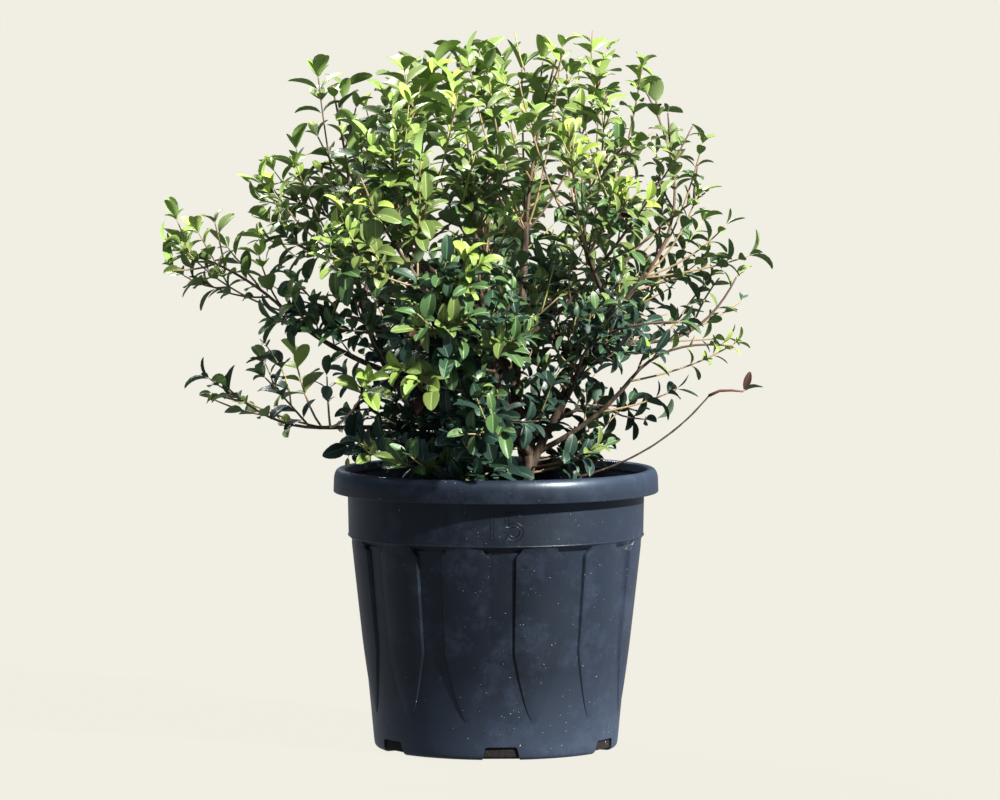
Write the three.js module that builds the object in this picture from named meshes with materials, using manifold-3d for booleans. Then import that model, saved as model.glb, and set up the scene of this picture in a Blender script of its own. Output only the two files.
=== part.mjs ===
// A potted evergreen shrub: a ribbed nursery pot filled with potting mix, a trunk with four main
// stems, boughs that rise from them, and masses of leafy twigs at the limbs' tips.
// Millimetres, +Z up. The origin is the middle of the pot's underside, and -Y is the front.
import * as THREE from "three";
import { mergeVertices } from "three/addons/utils/BufferGeometryUtils.js";
import Module from "manifold-3d";

const wasm = await Module();
wasm.setup();

const DEGREE = Math.PI / 180;
const UP = new THREE.Vector3(0, 0, 1);
const UPRIGHT = 1e-3; // a limb that leans less than this has no level direction of its own
const MERGE = 1e-4; // corners nearer than this are one

// Pot: a 15 litre nursery container.
const POT_HEIGHT = 275;
const WALL = 2;
const FLOOR = 3;
const FOOT_RADIUS = 119.6; // where the cone of the wall meets the underside's rounded corner
const FOOT_CORNER = [6, 1, 2.7]; // its inset on the underside, and the inset and height of its bulge
const WALL_SLOPE = 0.096; // how fast the wall widens with height
const COLLAR_BOTTOM = 209;
const COLLAR_RADIUS = 145;
const COLLAR_TOP_RADIUS = 146;
const COLLAR_SLOPE_HEIGHT = 5.5; // of the slope that leads from the wall out to the collar
const SHOULDER_HEIGHT = COLLAR_BOTTOM - COLLAR_SLOPE_HEIGHT + WALL; // where the inside starts to widen
const RIM_RADIUS = 160;
const RIM_DEPTH = 23; // of the skirt that hangs from the rim
const RIM_ROUND = 4;
const LIP_RADIUS = 148.5; // the mouth's inner edge
const LIP_DROP = 3;
const THROAT_DROP = 17; // how far below the rim the mouth has narrowed to the collar's inside

// Pilasters: shallow panels that stand out of the wall and fade into it near the foot.
const PILASTERS = 12;
const PILASTER_TURN = 17.5; // degrees from +X to the middle of the first one
const PILASTER_HALF = 9.4; // degrees from its middle to its foot
const PILASTER_SHOULDER = 6.8; // degrees from its middle to the edge of its face
const PILASTER_RELIEF = 4.5; // at the top
const PILASTER_FADE = 36; // height at which it is gone

// Drainage notches in the foot of the wall.
const NOTCHES = 6;
const NOTCH_TURN = 32.5; // degrees from +X to the middle of the first one
const NOTCH_WIDTH = 37;
const NOTCH_HEIGHT = 13;
const NOTCH_LEAN = 2.5; // how far each side leans in towards the top
const NOTCH_CORNER = 2.8; // size of the cut across each top corner
const NOTCH_DEPTH = 30; // of each cutter, outwards
const NOTCH_REACH = 14; // into the pot from the wall

// Potting mix.
const GROUND = 248; // height of its surface
const MIX_EDGE_DROP = 4; // how much lower the surface is at the wall
const MIX_SEGMENTS = 20;
const GAP = 0.3; // between neighbouring solids

// Trunk: x and y, and height above the ground, of the points that its line passes.
const TRUNK_LINE = [
  [20, 7, -12],
  [32, 3, 30],
  [19, 0, 104],
  [24, -2, 154],
  [27, 0, 222],
  [30, 2, 268],
];
const TRUNK_RADII = [6.4, 3]; // at the ground without the flare, and at the tip
const FLARE = 4.5; // how much the root flare adds at the ground
const FLARE_HEIGHT = 9;
const TRUNK_BURIED = 12; // length of the trunk's line below the ground, which is cut away
const CUT_BLOCK = 100; // side of the cube that cuts it
const TRUNK_SIDES = 8;
const TRUNK_SEGMENTS = 10;

// Main stems: azimuth in degrees, reach from the pot's axis and height of the tip, the height above
// the ground at which each leaves the trunk, and how far each sweeps out before it turns up.
const STEMS = {
  stem_left: { azimuth: 178, reach: 138, height: 484, leaves: 16, sweep: 0.95 },
  stem_right: { azimuth: -4, reach: 148, height: 468, leaves: 24, sweep: 0.5 },
  stem_back: { azimuth: 96, reach: 112, height: 484, leaves: 34, sweep: 0.8 },
  stem_front: { azimuth: 262, reach: 104, height: 452, leaves: 44, sweep: 0.8 },
};
const STEM = { radii: [4.6, 2.4], sides: 6 };
const STEM_LATE_RISE = 0.75; // how much of its rise a stem keeps for after its sweep

// Masses: where the outermost leaf of each reaches, as azimuth, reach and height, with the mass's
// length and the angle at which it rises. The first five carry on from the trunk and the main stems.
const CROWNS = {
  trunk: { azimuth: 8, reach: 66, height: 710 },
  stem_left: { azimuth: 176, reach: 166, height: 684 },
  stem_right: { azimuth: 6, reach: 144, height: 686 },
  stem_back: { azimuth: 116, reach: 92, height: 706 },
  stem_front: { azimuth: 256, reach: 130, height: 652 },
};
const ARMS = {
  left_arm: { azimuth: 178, reach: 338, height: 505, length: 150, rise: 30 },
  low_left_arm: { azimuth: 187, reach: 296, height: 370, length: 132, rise: 24 },
  right_arm: { azimuth: 2, reach: 264, height: 484, length: 138, rise: 38 },
  low_right_arm: { azimuth: -10, reach: 268, height: 408, length: 140, rise: 18 },
  whip: { azimuth: -3, reach: 262, height: 366, length: 56, rise: 20 },
};
const TIERS = {
  upper: { count: 4, start: 45, reach: 200, height: 634, length: 160, rise: 62 },
  middle: { count: 5, start: 22, reach: 250, height: 566, length: 160, rise: 42 },
  lower: { count: 5, start: 40, reach: 240, height: 438, length: 155, rise: 22 },
  skirt: { count: 3, start: 152, reach: 200, height: 330, length: 140, rise: 8 },
};
// Masses that grow straight from the side of a trunk or main stem, with no bough.
const INNER = {
  inner_left: { limb: "stem_left", leaves: 0.32, azimuth: 235, reach: 118, height: 392 },
  inner_front: { limb: "stem_front", leaves: 0.6, azimuth: 290, reach: 120, height: 500 },
  inner_right: { limb: "stem_right", leaves: 0.35, azimuth: 310, reach: 125, height: 420 },
  inner_back: { limb: "stem_back", leaves: 0.5, azimuth: 70, reach: 118, height: 470 },
};

// Boughs.
const BOUGH = { radii: [2.9, 1.9], sides: 5 };
const BOUGH_SWEEP = [0.62, 0.38];
const BOUGH_CLIMB = 0.8; // how steeply a bough likes to rise from where it forks
const FORK_PLACES = 12; // along each main limb
const FORK_SPACING = 14; // a fork nearer than this to another costs more
const CROWDED_COST = 60;
const FALL_COST = 3; // for each millimetre that a bough would have to fall
const WHIP = { radii: [1.7, 1.4], sides: 5 };
const WHIP_START = 0.08; // share of the trunk at which it leaves
const WHIP_SWEEP = [0.64, 0.1]; // it runs low across the mix before it rises
const LIMB_SEGMENTS = 4;
const LIMB_GAP = GAP * 1.4;
const BOW_STEP = 5; // how much further sideways a limb bows at each try
const BOW_TRIES = 16;
const TIP_STEP = 4; // degrees that a mass's tip turns at each try
const TIP_TRIES = 16;

// Foliage.
const TWIG_COUNT = 5; // side twigs of a mass
const TWIG_FIRST = 0.08; // share of the mass's stem at which the first one leaves
const TWIG_LAST = 0.8;
const TWIG_TURN = 137.5; // degrees round the stem from one twig to the next
const TWIG_REACH = 96; // of the lowest twig, with its end leaves
const TWIG_TAPER = 0.36; // how much shorter the last twig is
const TWIG_ANGLE = 54; // degrees from the stem
const TWIG_SPREAD = { turn: 40, angle: 16, reach: 0.3 }; // how far these vary in all
const TWIG_LIFT = 0.15; // how strongly a twig turns up to the light
const SMALL_MASS = 80; // a mass shorter than this has a single side twig
const MASS_STEM_RADII = [1.9, 1.5];
const TWIG_RADII = [1.0, 0.95];
const TWIG_SIDES = 4;
const STEM_SEGMENTS = 2;
const LEAF_LENGTH = 54; // larger than life, because there are fewer leaves than on the real plant
const LEAF_WIDTH = 25;
const LEAF_SHOULDER = 0.37; // share of its length from the root to its widest line
const LEAF_TAPER = 0.86; // width of its outer half against its inner half
const LEAF_ARCH = 1.7;
const LEAF_DROOP = 3;
const LEAF_TIP_SHARE = 0.64; // how far a twig's end leaves reach past it, as a share of a leaf
const STEM_LEAF_PLACES = [0.5, 0.97]; // shares of a mass's stem at which pairs of leaves stand
const TWIG_LEAF_PLACES = [0.3, 0.62, 0.95];
const LEAF_ANGLES = [50, 66]; // degrees from the twig: a leaf that doesn't fit is tried the second way
const ARM_DROOP = 32; // how far an arm's foliage may hang below the line from its base to its tip
const LOWEST_LEAF = 283; // height
const HIGHEST_LEAF = 712;
const SEED = 20;

const COLOURS = {
  pot: { color: 0x16181d, roughness: 0.45, metalness: 0 },
  mix: { color: 0x2b211a, roughness: 0.95, metalness: 0 },
  bark: { color: 0x6b5a4a, roughness: 0.85, metalness: 0 },
  leaf: { color: 0x2c4a26, roughness: 0.4, metalness: 0 },
};

// Numbers from 0 to 1 that are the same on every run.
function seeded(seed) {
  let state = (Math.imul(seed, 2654435761) + 12345) >>> 0;
  return () => {
    state = (Math.imul(state, 1664525) + 1013904223) >>> 0;
    return state / 4294967296;
  };
}

function solidOf(geometry) {
  geometry.deleteAttribute("normal");
  geometry.deleteAttribute("uv");
  const merged = mergeVertices(geometry, MERGE);
  return new wasm.Manifold(
    new wasm.Mesh({
      numProp: 3,
      vertProperties: merged.getAttribute("position").array,
      triVerts: new Uint32Array(merged.index.array),
    }),
  );
}

function meshOf(name, solid, look) {
  const { vertProperties, triVerts } = solid.getMesh();
  const geometry = new THREE.BufferGeometry()
    .setAttribute("position", new THREE.BufferAttribute(vertProperties, 3))
    .setIndex(new THREE.BufferAttribute(triVerts, 1));
  geometry.computeVertexNormals();
  const mesh = new THREE.Mesh(geometry, new THREE.MeshStandardMaterial(COLOURS[look]));
  mesh.name = name;
  return mesh;
}

function cylindrical(azimuth, reach, height) {
  const angle = azimuth * DEGREE;
  return new THREE.Vector3(reach * Math.cos(angle), reach * Math.sin(angle), height);
}

function wallRadius(height) {
  return FOOT_RADIUS + WALL_SLOPE * height;
}

// How far a pilaster's face stands out of the wall.
function pilasterRelief(height) {
  const share = (height - PILASTER_FADE) / (COLLAR_BOTTOM - PILASTER_FADE);
  return PILASTER_RELIEF * Math.max(0, share);
}

// The pot's outline: up the outside to the rim, then down the inside.
function potOutline() {
  const slopeFoot = COLLAR_BOTTOM - COLLAR_SLOPE_HEIGHT;
  const rimBottom = POT_HEIGHT - RIM_DEPTH;
  const hollowTop = POT_HEIGHT - RIM_ROUND - WALL;
  const throat = POT_HEIGHT - THROAT_DROP;
  return [
    [0, 0],
    [FOOT_RADIUS - FOOT_CORNER[0], 0],
    [FOOT_RADIUS - FOOT_CORNER[1], FOOT_CORNER[2]],
    [wallRadius(PILASTER_FADE), PILASTER_FADE],
    [wallRadius(slopeFoot), slopeFoot],
    [COLLAR_RADIUS, COLLAR_BOTTOM],
    [COLLAR_TOP_RADIUS, hollowTop],
    [RIM_RADIUS - WALL, hollowTop],
    [RIM_RADIUS - WALL, rimBottom],
    [RIM_RADIUS, rimBottom],
    [RIM_RADIUS, POT_HEIGHT - RIM_ROUND],
    [RIM_RADIUS - RIM_ROUND, POT_HEIGHT],
    [LIP_RADIUS + 1, POT_HEIGHT],
    [LIP_RADIUS, POT_HEIGHT - LIP_DROP],
    [insideRadius(throat), throat],
    [insideRadius(SHOULDER_HEIGHT), SHOULDER_HEIGHT],
    [insideRadius(FLOOR), FLOOR],
    [0, FLOOR],
  ];
}

// The lathe's columns run along the feet and shoulders of the pilasters.
function pot() {
  const angles = [-PILASTER_HALF, -PILASTER_SHOULDER, PILASTER_SHOULDER, PILASTER_HALF];
  const columns = PILASTERS * angles.length;
  const outline = potOutline();
  const profile = outline.map(([radius, height]) => new THREE.Vector2(radius, height));
  const lathe = new THREE.LatheGeometry(profile, columns);
  const position = lathe.getAttribute("position");
  for (let i = 0; i < position.count; i++) {
    const column = Math.floor(i / outline.length) % columns;
    const [radius, height] = outline[i % outline.length];
    const angle = angles[column % angles.length];
    const turn = PILASTER_TURN + (360 / PILASTERS) * Math.floor(column / angles.length) + angle;
    const isFace = Math.abs(angle) === PILASTER_SHOULDER;
    const isWall = height > PILASTER_FADE && radius >= wallRadius(height) && height < COLLAR_BOTTOM;
    const place = cylindrical(turn, radius + (isFace && isWall ? pilasterRelief(height) : 0), height);
    position.setXYZ(i, place.x, place.y, place.z);
  }
  return solidOf(lathe).subtract(notches());
}

// Six cutters, each a slot with leaning sides that runs out through the wall.
function notches() {
  const half = NOTCH_WIDTH / 2;
  const top = half - NOTCH_LEAN;
  const shape = new THREE.Shape([
    new THREE.Vector2(-half, -1),
    new THREE.Vector2(half, -1),
    new THREE.Vector2(top, NOTCH_HEIGHT - NOTCH_CORNER),
    new THREE.Vector2(top - NOTCH_CORNER, NOTCH_HEIGHT),
    new THREE.Vector2(NOTCH_CORNER - top, NOTCH_HEIGHT),
    new THREE.Vector2(-top, NOTCH_HEIGHT - NOTCH_CORNER),
  ]);
  const cutters = [];
  for (let i = 0; i < NOTCHES; i++) {
    const cutter = new THREE.ExtrudeGeometry(shape, { depth: NOTCH_DEPTH, bevelEnabled: false });
    const turn = NOTCH_TURN + (360 / NOTCHES) * i;
    cutter.rotateX(Math.PI / 2).rotateZ((turn + 90) * DEGREE);
    const start = cylindrical(turn, FOOT_RADIUS - NOTCH_REACH, 0);
    cutters.push(solidOf(cutter.translate(start.x, start.y, 0)));
  }
  return wasm.Manifold.union(cutters);
}

// The inside of the pot's wall: a cone up to the collar, and a wider one from there to the throat.
function insideRadius(height) {
  if (height <= SHOULDER_HEIGHT) return wallRadius(height) - WALL;
  const share = (height - SHOULDER_HEIGHT) / (POT_HEIGHT - THROAT_DROP - SHOULDER_HEIGHT);
  const shoulder = wallRadius(SHOULDER_HEIGHT) - WALL;
  return shoulder + (COLLAR_TOP_RADIUS - WALL - shoulder) * share;
}

function pottingMix() {
  const shrink = Math.cos(PILASTER_SHOULDER * DEGREE); // keeps its corners off the wall's flats
  const fitted = (height) => [insideRadius(height) * shrink - GAP, height];
  const outline = [
    [0, FLOOR + GAP],
    fitted(FLOOR + GAP),
    fitted(SHOULDER_HEIGHT),
    fitted(GROUND - MIX_EDGE_DROP),
    [LIP_RADIUS / 2, GROUND],
    [0, GROUND],
  ].map(([radius, height]) => new THREE.Vector2(radius, height));
  return solidOf(new THREE.LatheGeometry(outline, MIX_SEGMENTS).rotateX(Math.PI / 2));
}

// A closed tube with flat ends through rings of corners. The middles of its sides face across and
// over when it has four.
function tubeSolid(rings, sides) {
  const corners = rings.flatMap(({ centre, across, over, radius }) =>
    Array.from({ length: sides }, (_, k) => {
      const turn = ((k + 0.5) * 2 * Math.PI) / sides;
      const corner = centre.clone().addScaledVector(across, radius * Math.cos(turn));
      return corner.addScaledVector(over, radius * Math.sin(turn)).toArray();
    }),
  );
  const faces = [];
  for (let ring = 0; ring + 1 < rings.length; ring++)
    for (let k = 0; k < sides; k++) {
      const a = ring * sides + k;
      const b = ring * sides + ((k + 1) % sides);
      faces.push(a, b, b + sides, a, b + sides, a + sides);
    }
  const end = corners.length - sides;
  for (let k = 1; k + 1 < sides; k++) faces.push(0, k + 1, k, end, end + k, end + k + 1);
  return facetedSolid(corners, faces);
}

// A solid from its corners, as [x, y, z], and the three corners of each face.
function facetedSolid(corners, faces) {
  const geometry = new THREE.BufferGeometry()
    .setAttribute("position", new THREE.Float32BufferAttribute(corners.flat(), 3))
    .setIndex(faces);
  return solidOf(geometry);
}

// A tapering limb along a curve. radiusAt gives its radius at a share of the curve's length, and
// grow makes it thicker by that much.
function limbSolid(curve, radiusAt, sides, segments, grow = 0) {
  let { across } = frameOf(curve.getTangentAt(0));
  const rings = [];
  for (let i = 0; i <= segments; i++) {
    const along = curve.getTangentAt(i / segments);
    across = across.clone().addScaledVector(along, -across.dot(along)).normalize();
    const over = new THREE.Vector3().crossVectors(along, across);
    const centre = curve.getPointAt(i / segments);
    rings.push({ centre, across, over, radius: radiusAt(i / segments) + grow });
  }
  return tubeSolid(rings, sides);
}

// Two directions at right angles to a limb's: one level, and one over it.
function frameOf(along) {
  const across = new THREE.Vector3().crossVectors(along, UP);
  if (across.length() < UPRIGHT) across.set(1, 0, 0);
  across.normalize();
  return { across, over: new THREE.Vector3().crossVectors(along, across) };
}

function taper([base, tip]) {
  return (share) => base + (tip - base) * share;
}

// The trunk leans and bends as its line says, and flares where it meets the ground.
function trunkLimb() {
  const points = TRUNK_LINE.map(([x, y, z]) => new THREE.Vector3(x, y, GROUND + GAP + z));
  const curve = new THREE.CatmullRomCurve3(points);
  const length = curve.getLength();
  const plain = taper(TRUNK_RADII);
  const radiusAt = (share) => {
    const above = Math.max(0, share * length - TRUNK_BURIED);
    return plain(share) + FLARE * Math.exp(-above / FLARE_HEIGHT);
  };
  const block = new THREE.BoxGeometry(CUT_BLOCK, CUT_BLOCK, CUT_BLOCK);
  block.translate(points[0].x, points[0].y, GROUND + GAP - CUT_BLOCK / 2);
  return {
    name: "trunk",
    curve,
    solid: limbSolid(curve, radiusAt, TRUNK_SIDES, TRUNK_SEGMENTS).subtract(solidOf(block)),
    grown: limbSolid(curve, radiusAt, TRUNK_SIDES, TRUNK_SEGMENTS, LIMB_GAP),
  };
}

// A limb's curve from one point to another. It sweeps out over the share sweepOut of the way
// while it climbs the share sweepUp of its rise, and bows sideways by bow.
function limbCurve(from, to, [sweepOut, sweepUp], bow) {
  const side = new THREE.Vector3(from.y - to.y, to.x - from.x, 0).normalize();
  const control = new THREE.Vector3(
    from.x + (to.x - from.x) * sweepOut,
    from.y + (to.y - from.y) * sweepOut,
    from.z + (to.z - from.z) * sweepUp,
  ).addScaledVector(side, bow);
  return new THREE.QuadraticBezierCurve3(from, control, to);
}

// A limb whose foot is cut to its parent's side. It bows further sideways, left and right in
// turn, until it stands clear of every other limb.
function growLimb(name, kind, from, to, sweep, parent, limbs) {
  const { radii, sides } = kind;
  const others = limbs.filter((limb) => limb !== parent).map((limb) => limb.grown);
  for (let attempt = 0; attempt < BOW_TRIES; attempt++) {
    const bow = BOW_STEP * Math.ceil(attempt / 2) * (attempt % 2 ? 1 : -1);
    const curve = limbCurve(from, to, sweep, bow);
    const whole = limbSolid(curve, taper(radii), sides, LIMB_SEGMENTS);
    const solid = whole.subtract(parent.grown);
    if (solid.decompose().length > 1 || touches(solid, others)) continue;
    const grown = limbSolid(curve, taper(radii), sides, LIMB_SEGMENTS, LIMB_GAP);
    return { name, curve, solid, grown };
  }
  throw new Error(name + " finds no clear way");
}

// Where a bough leaves the main limbs: a place that it can climb from at a natural angle, away
// from the places that are taken.
function departure(to, limbs, taken) {
  let best = null;
  for (const limb of limbs)
    for (let i = 1; i < FORK_PLACES; i++) {
      const place = limb.curve.getPoint(i / FORK_PLACES);
      const run = Math.hypot(to.x - place.x, to.y - place.y);
      const rise = to.z - place.z;
      const crowded = taken.some((other) => other.distanceTo(place) < FORK_SPACING);
      const fall = FALL_COST * Math.max(0, -rise);
      const cost = run + Math.abs(rise - run * BOUGH_CLIMB) + fall + (crowded ? CROWDED_COST : 0);
      if (!best || cost < best.cost) best = { cost, place, limb };
    }
  return best;
}

// A mass that carries on from the end of a limb. Its stem starts just clear of it.
function massAtTip(name, limb, tip) {
  const lead = limb.curve.getTangent(1);
  const base = limb.curve.getPoint(1).addScaledVector(lead, GAP);
  return { name, base, tip, limb, lead };
}

// Turns a mass's tip round the pot, left and right in turn, until its stem stands clear of the
// limbs and of the stems that are there.
function settle(mass, limbs, settled) {
  const others = limbs.filter((limb) => limb !== mass.limb);
  const obstacles = [...others.map((limb) => limb.grown), ...settled.map((other) => other.stemGrown)];
  for (let attempt = 0; attempt < TIP_TRIES; attempt++) {
    const turn = TIP_STEP * Math.ceil(attempt / 2) * (attempt % 2 ? 1 : -1);
    const tip = mass.tip.clone().applyAxisAngle(UP, turn * DEGREE);
    const bare = 1 - (LEAF_TIP_SHARE * LEAF_LENGTH) / tip.distanceTo(mass.base);
    const end = mass.base.clone().lerp(tip, bare);
    const bend = mass.base.clone().addScaledVector(mass.lead, mass.base.distanceTo(end) / 2);
    const stem = new THREE.QuadraticBezierCurve3(mass.base, bend, end);
    const radiusAt = taper(MASS_STEM_RADII);
    const whole = limbSolid(stem, radiusAt, TWIG_SIDES, STEM_SEGMENTS);
    const stemSolid = whole.subtract(mass.limb.grown);
    if (stemSolid.decompose().length > 1 || touches(stemSolid, obstacles)) continue;
    const stemGrown = limbSolid(stem, radiusAt, TWIG_SIDES, STEM_SEGMENTS, LIMB_GAP);
    const centre = mass.base.clone().lerp(tip, 0.5);
    return { ...mass, tip, stem, stemSolid, stemGrown, centre };
  }
  throw new Error(mass.name + " finds no clear way");
}

// Every limb, and every mass of foliage with its stem and the centre of its space.
function layOut() {
  const trunk = trunkLimb();
  const mains = [trunk];
  for (const [name, stem] of Object.entries(STEMS)) {
    const to = cylindrical(stem.azimuth, stem.reach, stem.height);
    const from = trunk.curve.getPointAt((TRUNK_BURIED + stem.leaves) / trunk.curve.getLength());
    const sweep = [stem.sweep, 1 - stem.sweep * STEM_LATE_RISE];
    mains.push(growLimb(name, STEM, from, to, sweep, trunk, mains));
  }
  const masses = mains.map((limb) => {
    const { azimuth, reach, height } = CROWNS[limb.name];
    return massAtTip(limb.name, limb, cylindrical(azimuth, reach, height));
  });
  const limbs = [...mains];
  const taken = [];
  for (const spray of outerSprays()) {
    const tip = cylindrical(spray.azimuth, spray.reach, spray.height);
    const along = cylindrical(spray.azimuth, Math.cos(spray.rise * DEGREE), Math.sin(spray.rise * DEGREE));
    const base = tip.clone().addScaledVector(along, -spray.length);
    const isWhip = spray.name === "whip";
    const { place, limb: parent } = isWhip
      ? { place: trunk.curve.getPointAt(WHIP_START), limb: trunk }
      : departure(base, mains, taken);
    taken.push(place);
    const sweep = isWhip ? WHIP_SWEEP : BOUGH_SWEEP;
    const kind = isWhip ? WHIP : BOUGH;
    const limb = growLimb("bough_" + spray.name, kind, place, base, sweep, parent, limbs);
    limbs.push(limb);
    masses.push(massAtTip(spray.name, limb, tip));
  }
  for (const [name, { limb: limbName, leaves, azimuth, reach, height }] of Object.entries(INNER)) {
    const limb = mains.find((main) => main.name === limbName);
    const base = limb.curve.getPoint(leaves);
    const tip = cylindrical(azimuth, reach, height);
    masses.push({ name, base, tip, limb, lead: tip.clone().sub(base).normalize() });
  }
  const settled = [];
  for (const mass of masses) settled.push(settle(mass, limbs, settled));
  return { limbs, masses: settled };
}

// The arms that stand out of the crown, then the tiers round it.
function outerSprays() {
  const sprays = Object.entries(ARMS).map(([name, arm]) => ({ name, ...arm }));
  for (const [tier, rule] of Object.entries(TIERS))
    for (let i = 0; i < rule.count; i++) {
      const azimuth = rule.start + (360 / rule.count) * i;
      sprays.push({ ...rule, name: tier + "_" + (i + 1), azimuth });
    }
  return sprays;
}

// The straight side twigs of a mass, by a rule with seeded variation.
function sideTwigs(mass, index) {
  const random = seeded(SEED + index);
  const { stem } = mass;
  const whole = mass.tip.distanceTo(mass.base);
  const count = whole < SMALL_MASS ? 1 : TWIG_COUNT;
  const firstTurn = random() * 360;
  const twigs = [];
  for (let i = 0; i < count; i++) {
    const at = TWIG_FIRST + ((TWIG_LAST - TWIG_FIRST) * i) / (TWIG_COUNT - 1);
    const turn = firstTurn + TWIG_TURN * i + TWIG_SPREAD.turn * (random() - 0.5);
    const angle = (TWIG_ANGLE + TWIG_SPREAD.angle * (random() - 0.5)) * DEGREE;
    const vary = 1 + TWIG_SPREAD.reach * (random() - 0.5);
    const reach = TWIG_REACH * (1 - TWIG_TAPER * at) * vary;
    const length = Math.min(reach, whole) - LEAF_TIP_SHARE * LEAF_LENGTH;
    const along = stem.getTangentAt(at);
    const outward = frameOf(along).across.applyAxisAngle(along, turn * DEGREE);
    const heading = along.multiplyScalar(Math.cos(angle)).addScaledVector(outward, Math.sin(angle));
    heading.addScaledVector(UP, TWIG_LIFT).normalize();
    const from = pointOn(stem, at, STEM_SEGMENTS);
    twigs.push(new THREE.LineCurve3(from, from.clone().addScaledVector(heading, length)));
  }
  return twigs;
}

// The ends of the straight stretch at a share of a limb that has this many segments.
function stretchOf(curve, share, segments) {
  const i = Math.min(Math.floor(share * segments), segments - 1);
  return [curve.getPointAt(i / segments), curve.getPointAt((i + 1) / segments), share * segments - i];
}

function pointOn(curve, share, segments) {
  const [from, to, part] = stretchOf(curve, share, segments);
  return from.lerp(to, part);
}

function headingOn(curve, share, segments) {
  const [from, to] = stretchOf(curve, share, segments);
  return to.sub(from).normalize();
}

// A leaf of eight faces that grows from a point on a twig towards heading, with its upper face
// turned to facing. It is six-sided from above, and arched. Its underside has a keel that runs
// straight from its root to its tip.
function leafSolid(root, heading, facing) {
  const across = new THREE.Vector3().crossVectors(facing, heading).normalize();
  const over = new THREE.Vector3().crossVectors(heading, across);
  const half = LEAF_WIDTH / 2;
  const outline = [
    [0, 0, 0],
    [LEAF_SHOULDER, half, LEAF_ARCH],
    [LEAF_SHOULDER, -half, LEAF_ARCH],
    [1 - LEAF_SHOULDER, half * LEAF_TAPER, 0],
    [1 - LEAF_SHOULDER, -half * LEAF_TAPER, 0],
    [1, 0, -LEAF_DROOP],
  ];
  const corners = outline.map(([share, aside, above]) => {
    const corner = root.clone().addScaledVector(heading, share * LEAF_LENGTH);
    return corner.addScaledVector(across, aside).addScaledVector(over, above).toArray();
  });
  const faces = [0, 2, 1, 1, 2, 4, 1, 4, 3, 3, 4, 5, 0, 1, 5, 1, 3, 5, 0, 5, 2, 2, 5, 4];
  return facetedSolid(corners, faces);
}

function boxesMeet(a, b) {
  const [p, q] = [a.boundingBox(), b.boundingBox()];
  return [0, 1, 2].every((k) => p.min[k] <= q.max[k] && q.min[k] <= p.max[k]);
}

function touches(solid, others) {
  return others.some((other) => boxesMeet(solid, other) && !solid.intersect(other).isEmpty());
}

// How far a point hangs below the line from a mass's base to its tip.
function droop(point, mass) {
  const axis = mass.tip.clone().sub(mass.base);
  const share = point.clone().sub(mass.base).dot(axis) / axis.lengthSq();
  return mass.base.z + axis.z * Math.min(1, Math.max(0, share)) - point.z;
}

// True if every corner of the solid is in the mass's own space: above the rim, not far below an
// arm, and nearer to its centre than to any other mass's.
function staysHome(solid, mass, masses) {
  const { vertProperties } = solid.getMesh();
  const corner = new THREE.Vector3();
  for (let i = 0; i < vertProperties.length; i += 3) {
    corner.fromArray(vertProperties, i);
    if (corner.z < LOWEST_LEAF || corner.z > HIGHEST_LEAF) return false;
    if (mass.name in ARMS && droop(corner, mass) > ARM_DROOP) return false;
    const own = corner.distanceTo(mass.centre);
    for (const other of masses) {
      if (other !== mass && corner.distanceTo(other.centre) < own + GAP * 2) return false;
    }
  }
  return true;
}

// Pairs of leaves along a twig, each pair turned a quarter from the last. A leaf that fits nowhere
// is left out.
function leavesOn({ curve, segments, places }, fits) {
  const leaves = [];
  places.forEach((at, i) => {
    const along = headingOn(curve, at, segments);
    const { across, over } = frameOf(along);
    const outward = i % 2 ? across : over;
    const root = pointOn(curve, at, segments);
    for (const hand of [1, -1])
      for (const angle of LEAF_ANGLES) {
        const heading = along.clone().multiplyScalar(Math.cos(angle * DEGREE));
        heading.addScaledVector(outward, hand * Math.sin(angle * DEGREE));
        const leaf = leafSolid(root, heading, along);
        if (!fits(leaf, leaves)) continue;
        leaves.push(leaf);
        break;
      }
  });
  return leaves;
}

// One mass of foliage: its stem and twigs with leaves fused on. What would leave the mass's space
// or touch a limb is left out.
function foliage(mass, index, masses, limbSolids) {
  const stems = masses.filter((other) => other !== mass).map((other) => other.stemGrown);
  const blocked = [...limbSolids, ...stems];
  const kept = [
    { curve: mass.stem, solid: mass.stemSolid, segments: STEM_SEGMENTS, places: STEM_LEAF_PLACES },
  ];
  for (const curve of sideTwigs(mass, index)) {
    const solid = limbSolid(curve, taper(TWIG_RADII), TWIG_SIDES, 1);
    if (touches(solid, blocked) || !staysHome(solid, mass, masses)) continue;
    kept.push({ curve, solid, segments: 1, places: TWIG_LEAF_PLACES });
  }
  const leaves = [];
  for (const twig of kept) {
    const others = kept.filter((other) => other !== twig).map((other) => other.solid);
    const obstacles = [...blocked, ...others, ...leaves];
    const fits = (leaf, pair) =>
      staysHome(leaf, mass, masses) && !touches(leaf, obstacles) && !touches(leaf, pair.slice(0, -1));
    leaves.push(...leavesOn(twig, fits));
  }
  const bodies = wasm.Manifold.union([...kept.map((twig) => twig.solid), ...leaves]).decompose();
  return bodies.sort((a, b) => b.volume() - a.volume())[0];
}

const part = new THREE.Group();
part.add(meshOf("pot", pot(), "pot"));
part.add(meshOf("potting_mix", pottingMix(), "mix"));

const { limbs, masses } = layOut();
for (const limb of limbs) part.add(meshOf(limb.name, limb.solid, "bark"));
const grownLimbs = limbs.map((limb) => limb.grown);
masses.forEach((mass, index) => {
  part.add(meshOf("foliage_" + mass.name, foliage(mass, index, masses, grownLimbs), "leaf"));
});

export default part;
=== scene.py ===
# The looks of a potted evergreen shrub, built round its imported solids.
# Lengths are millimetres and angles are degrees, as in the part's own source, until add_piece()
# makes metres of them. +Z is up, and -Y is the front.
import math
from itertools import product
from random import Random

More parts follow.
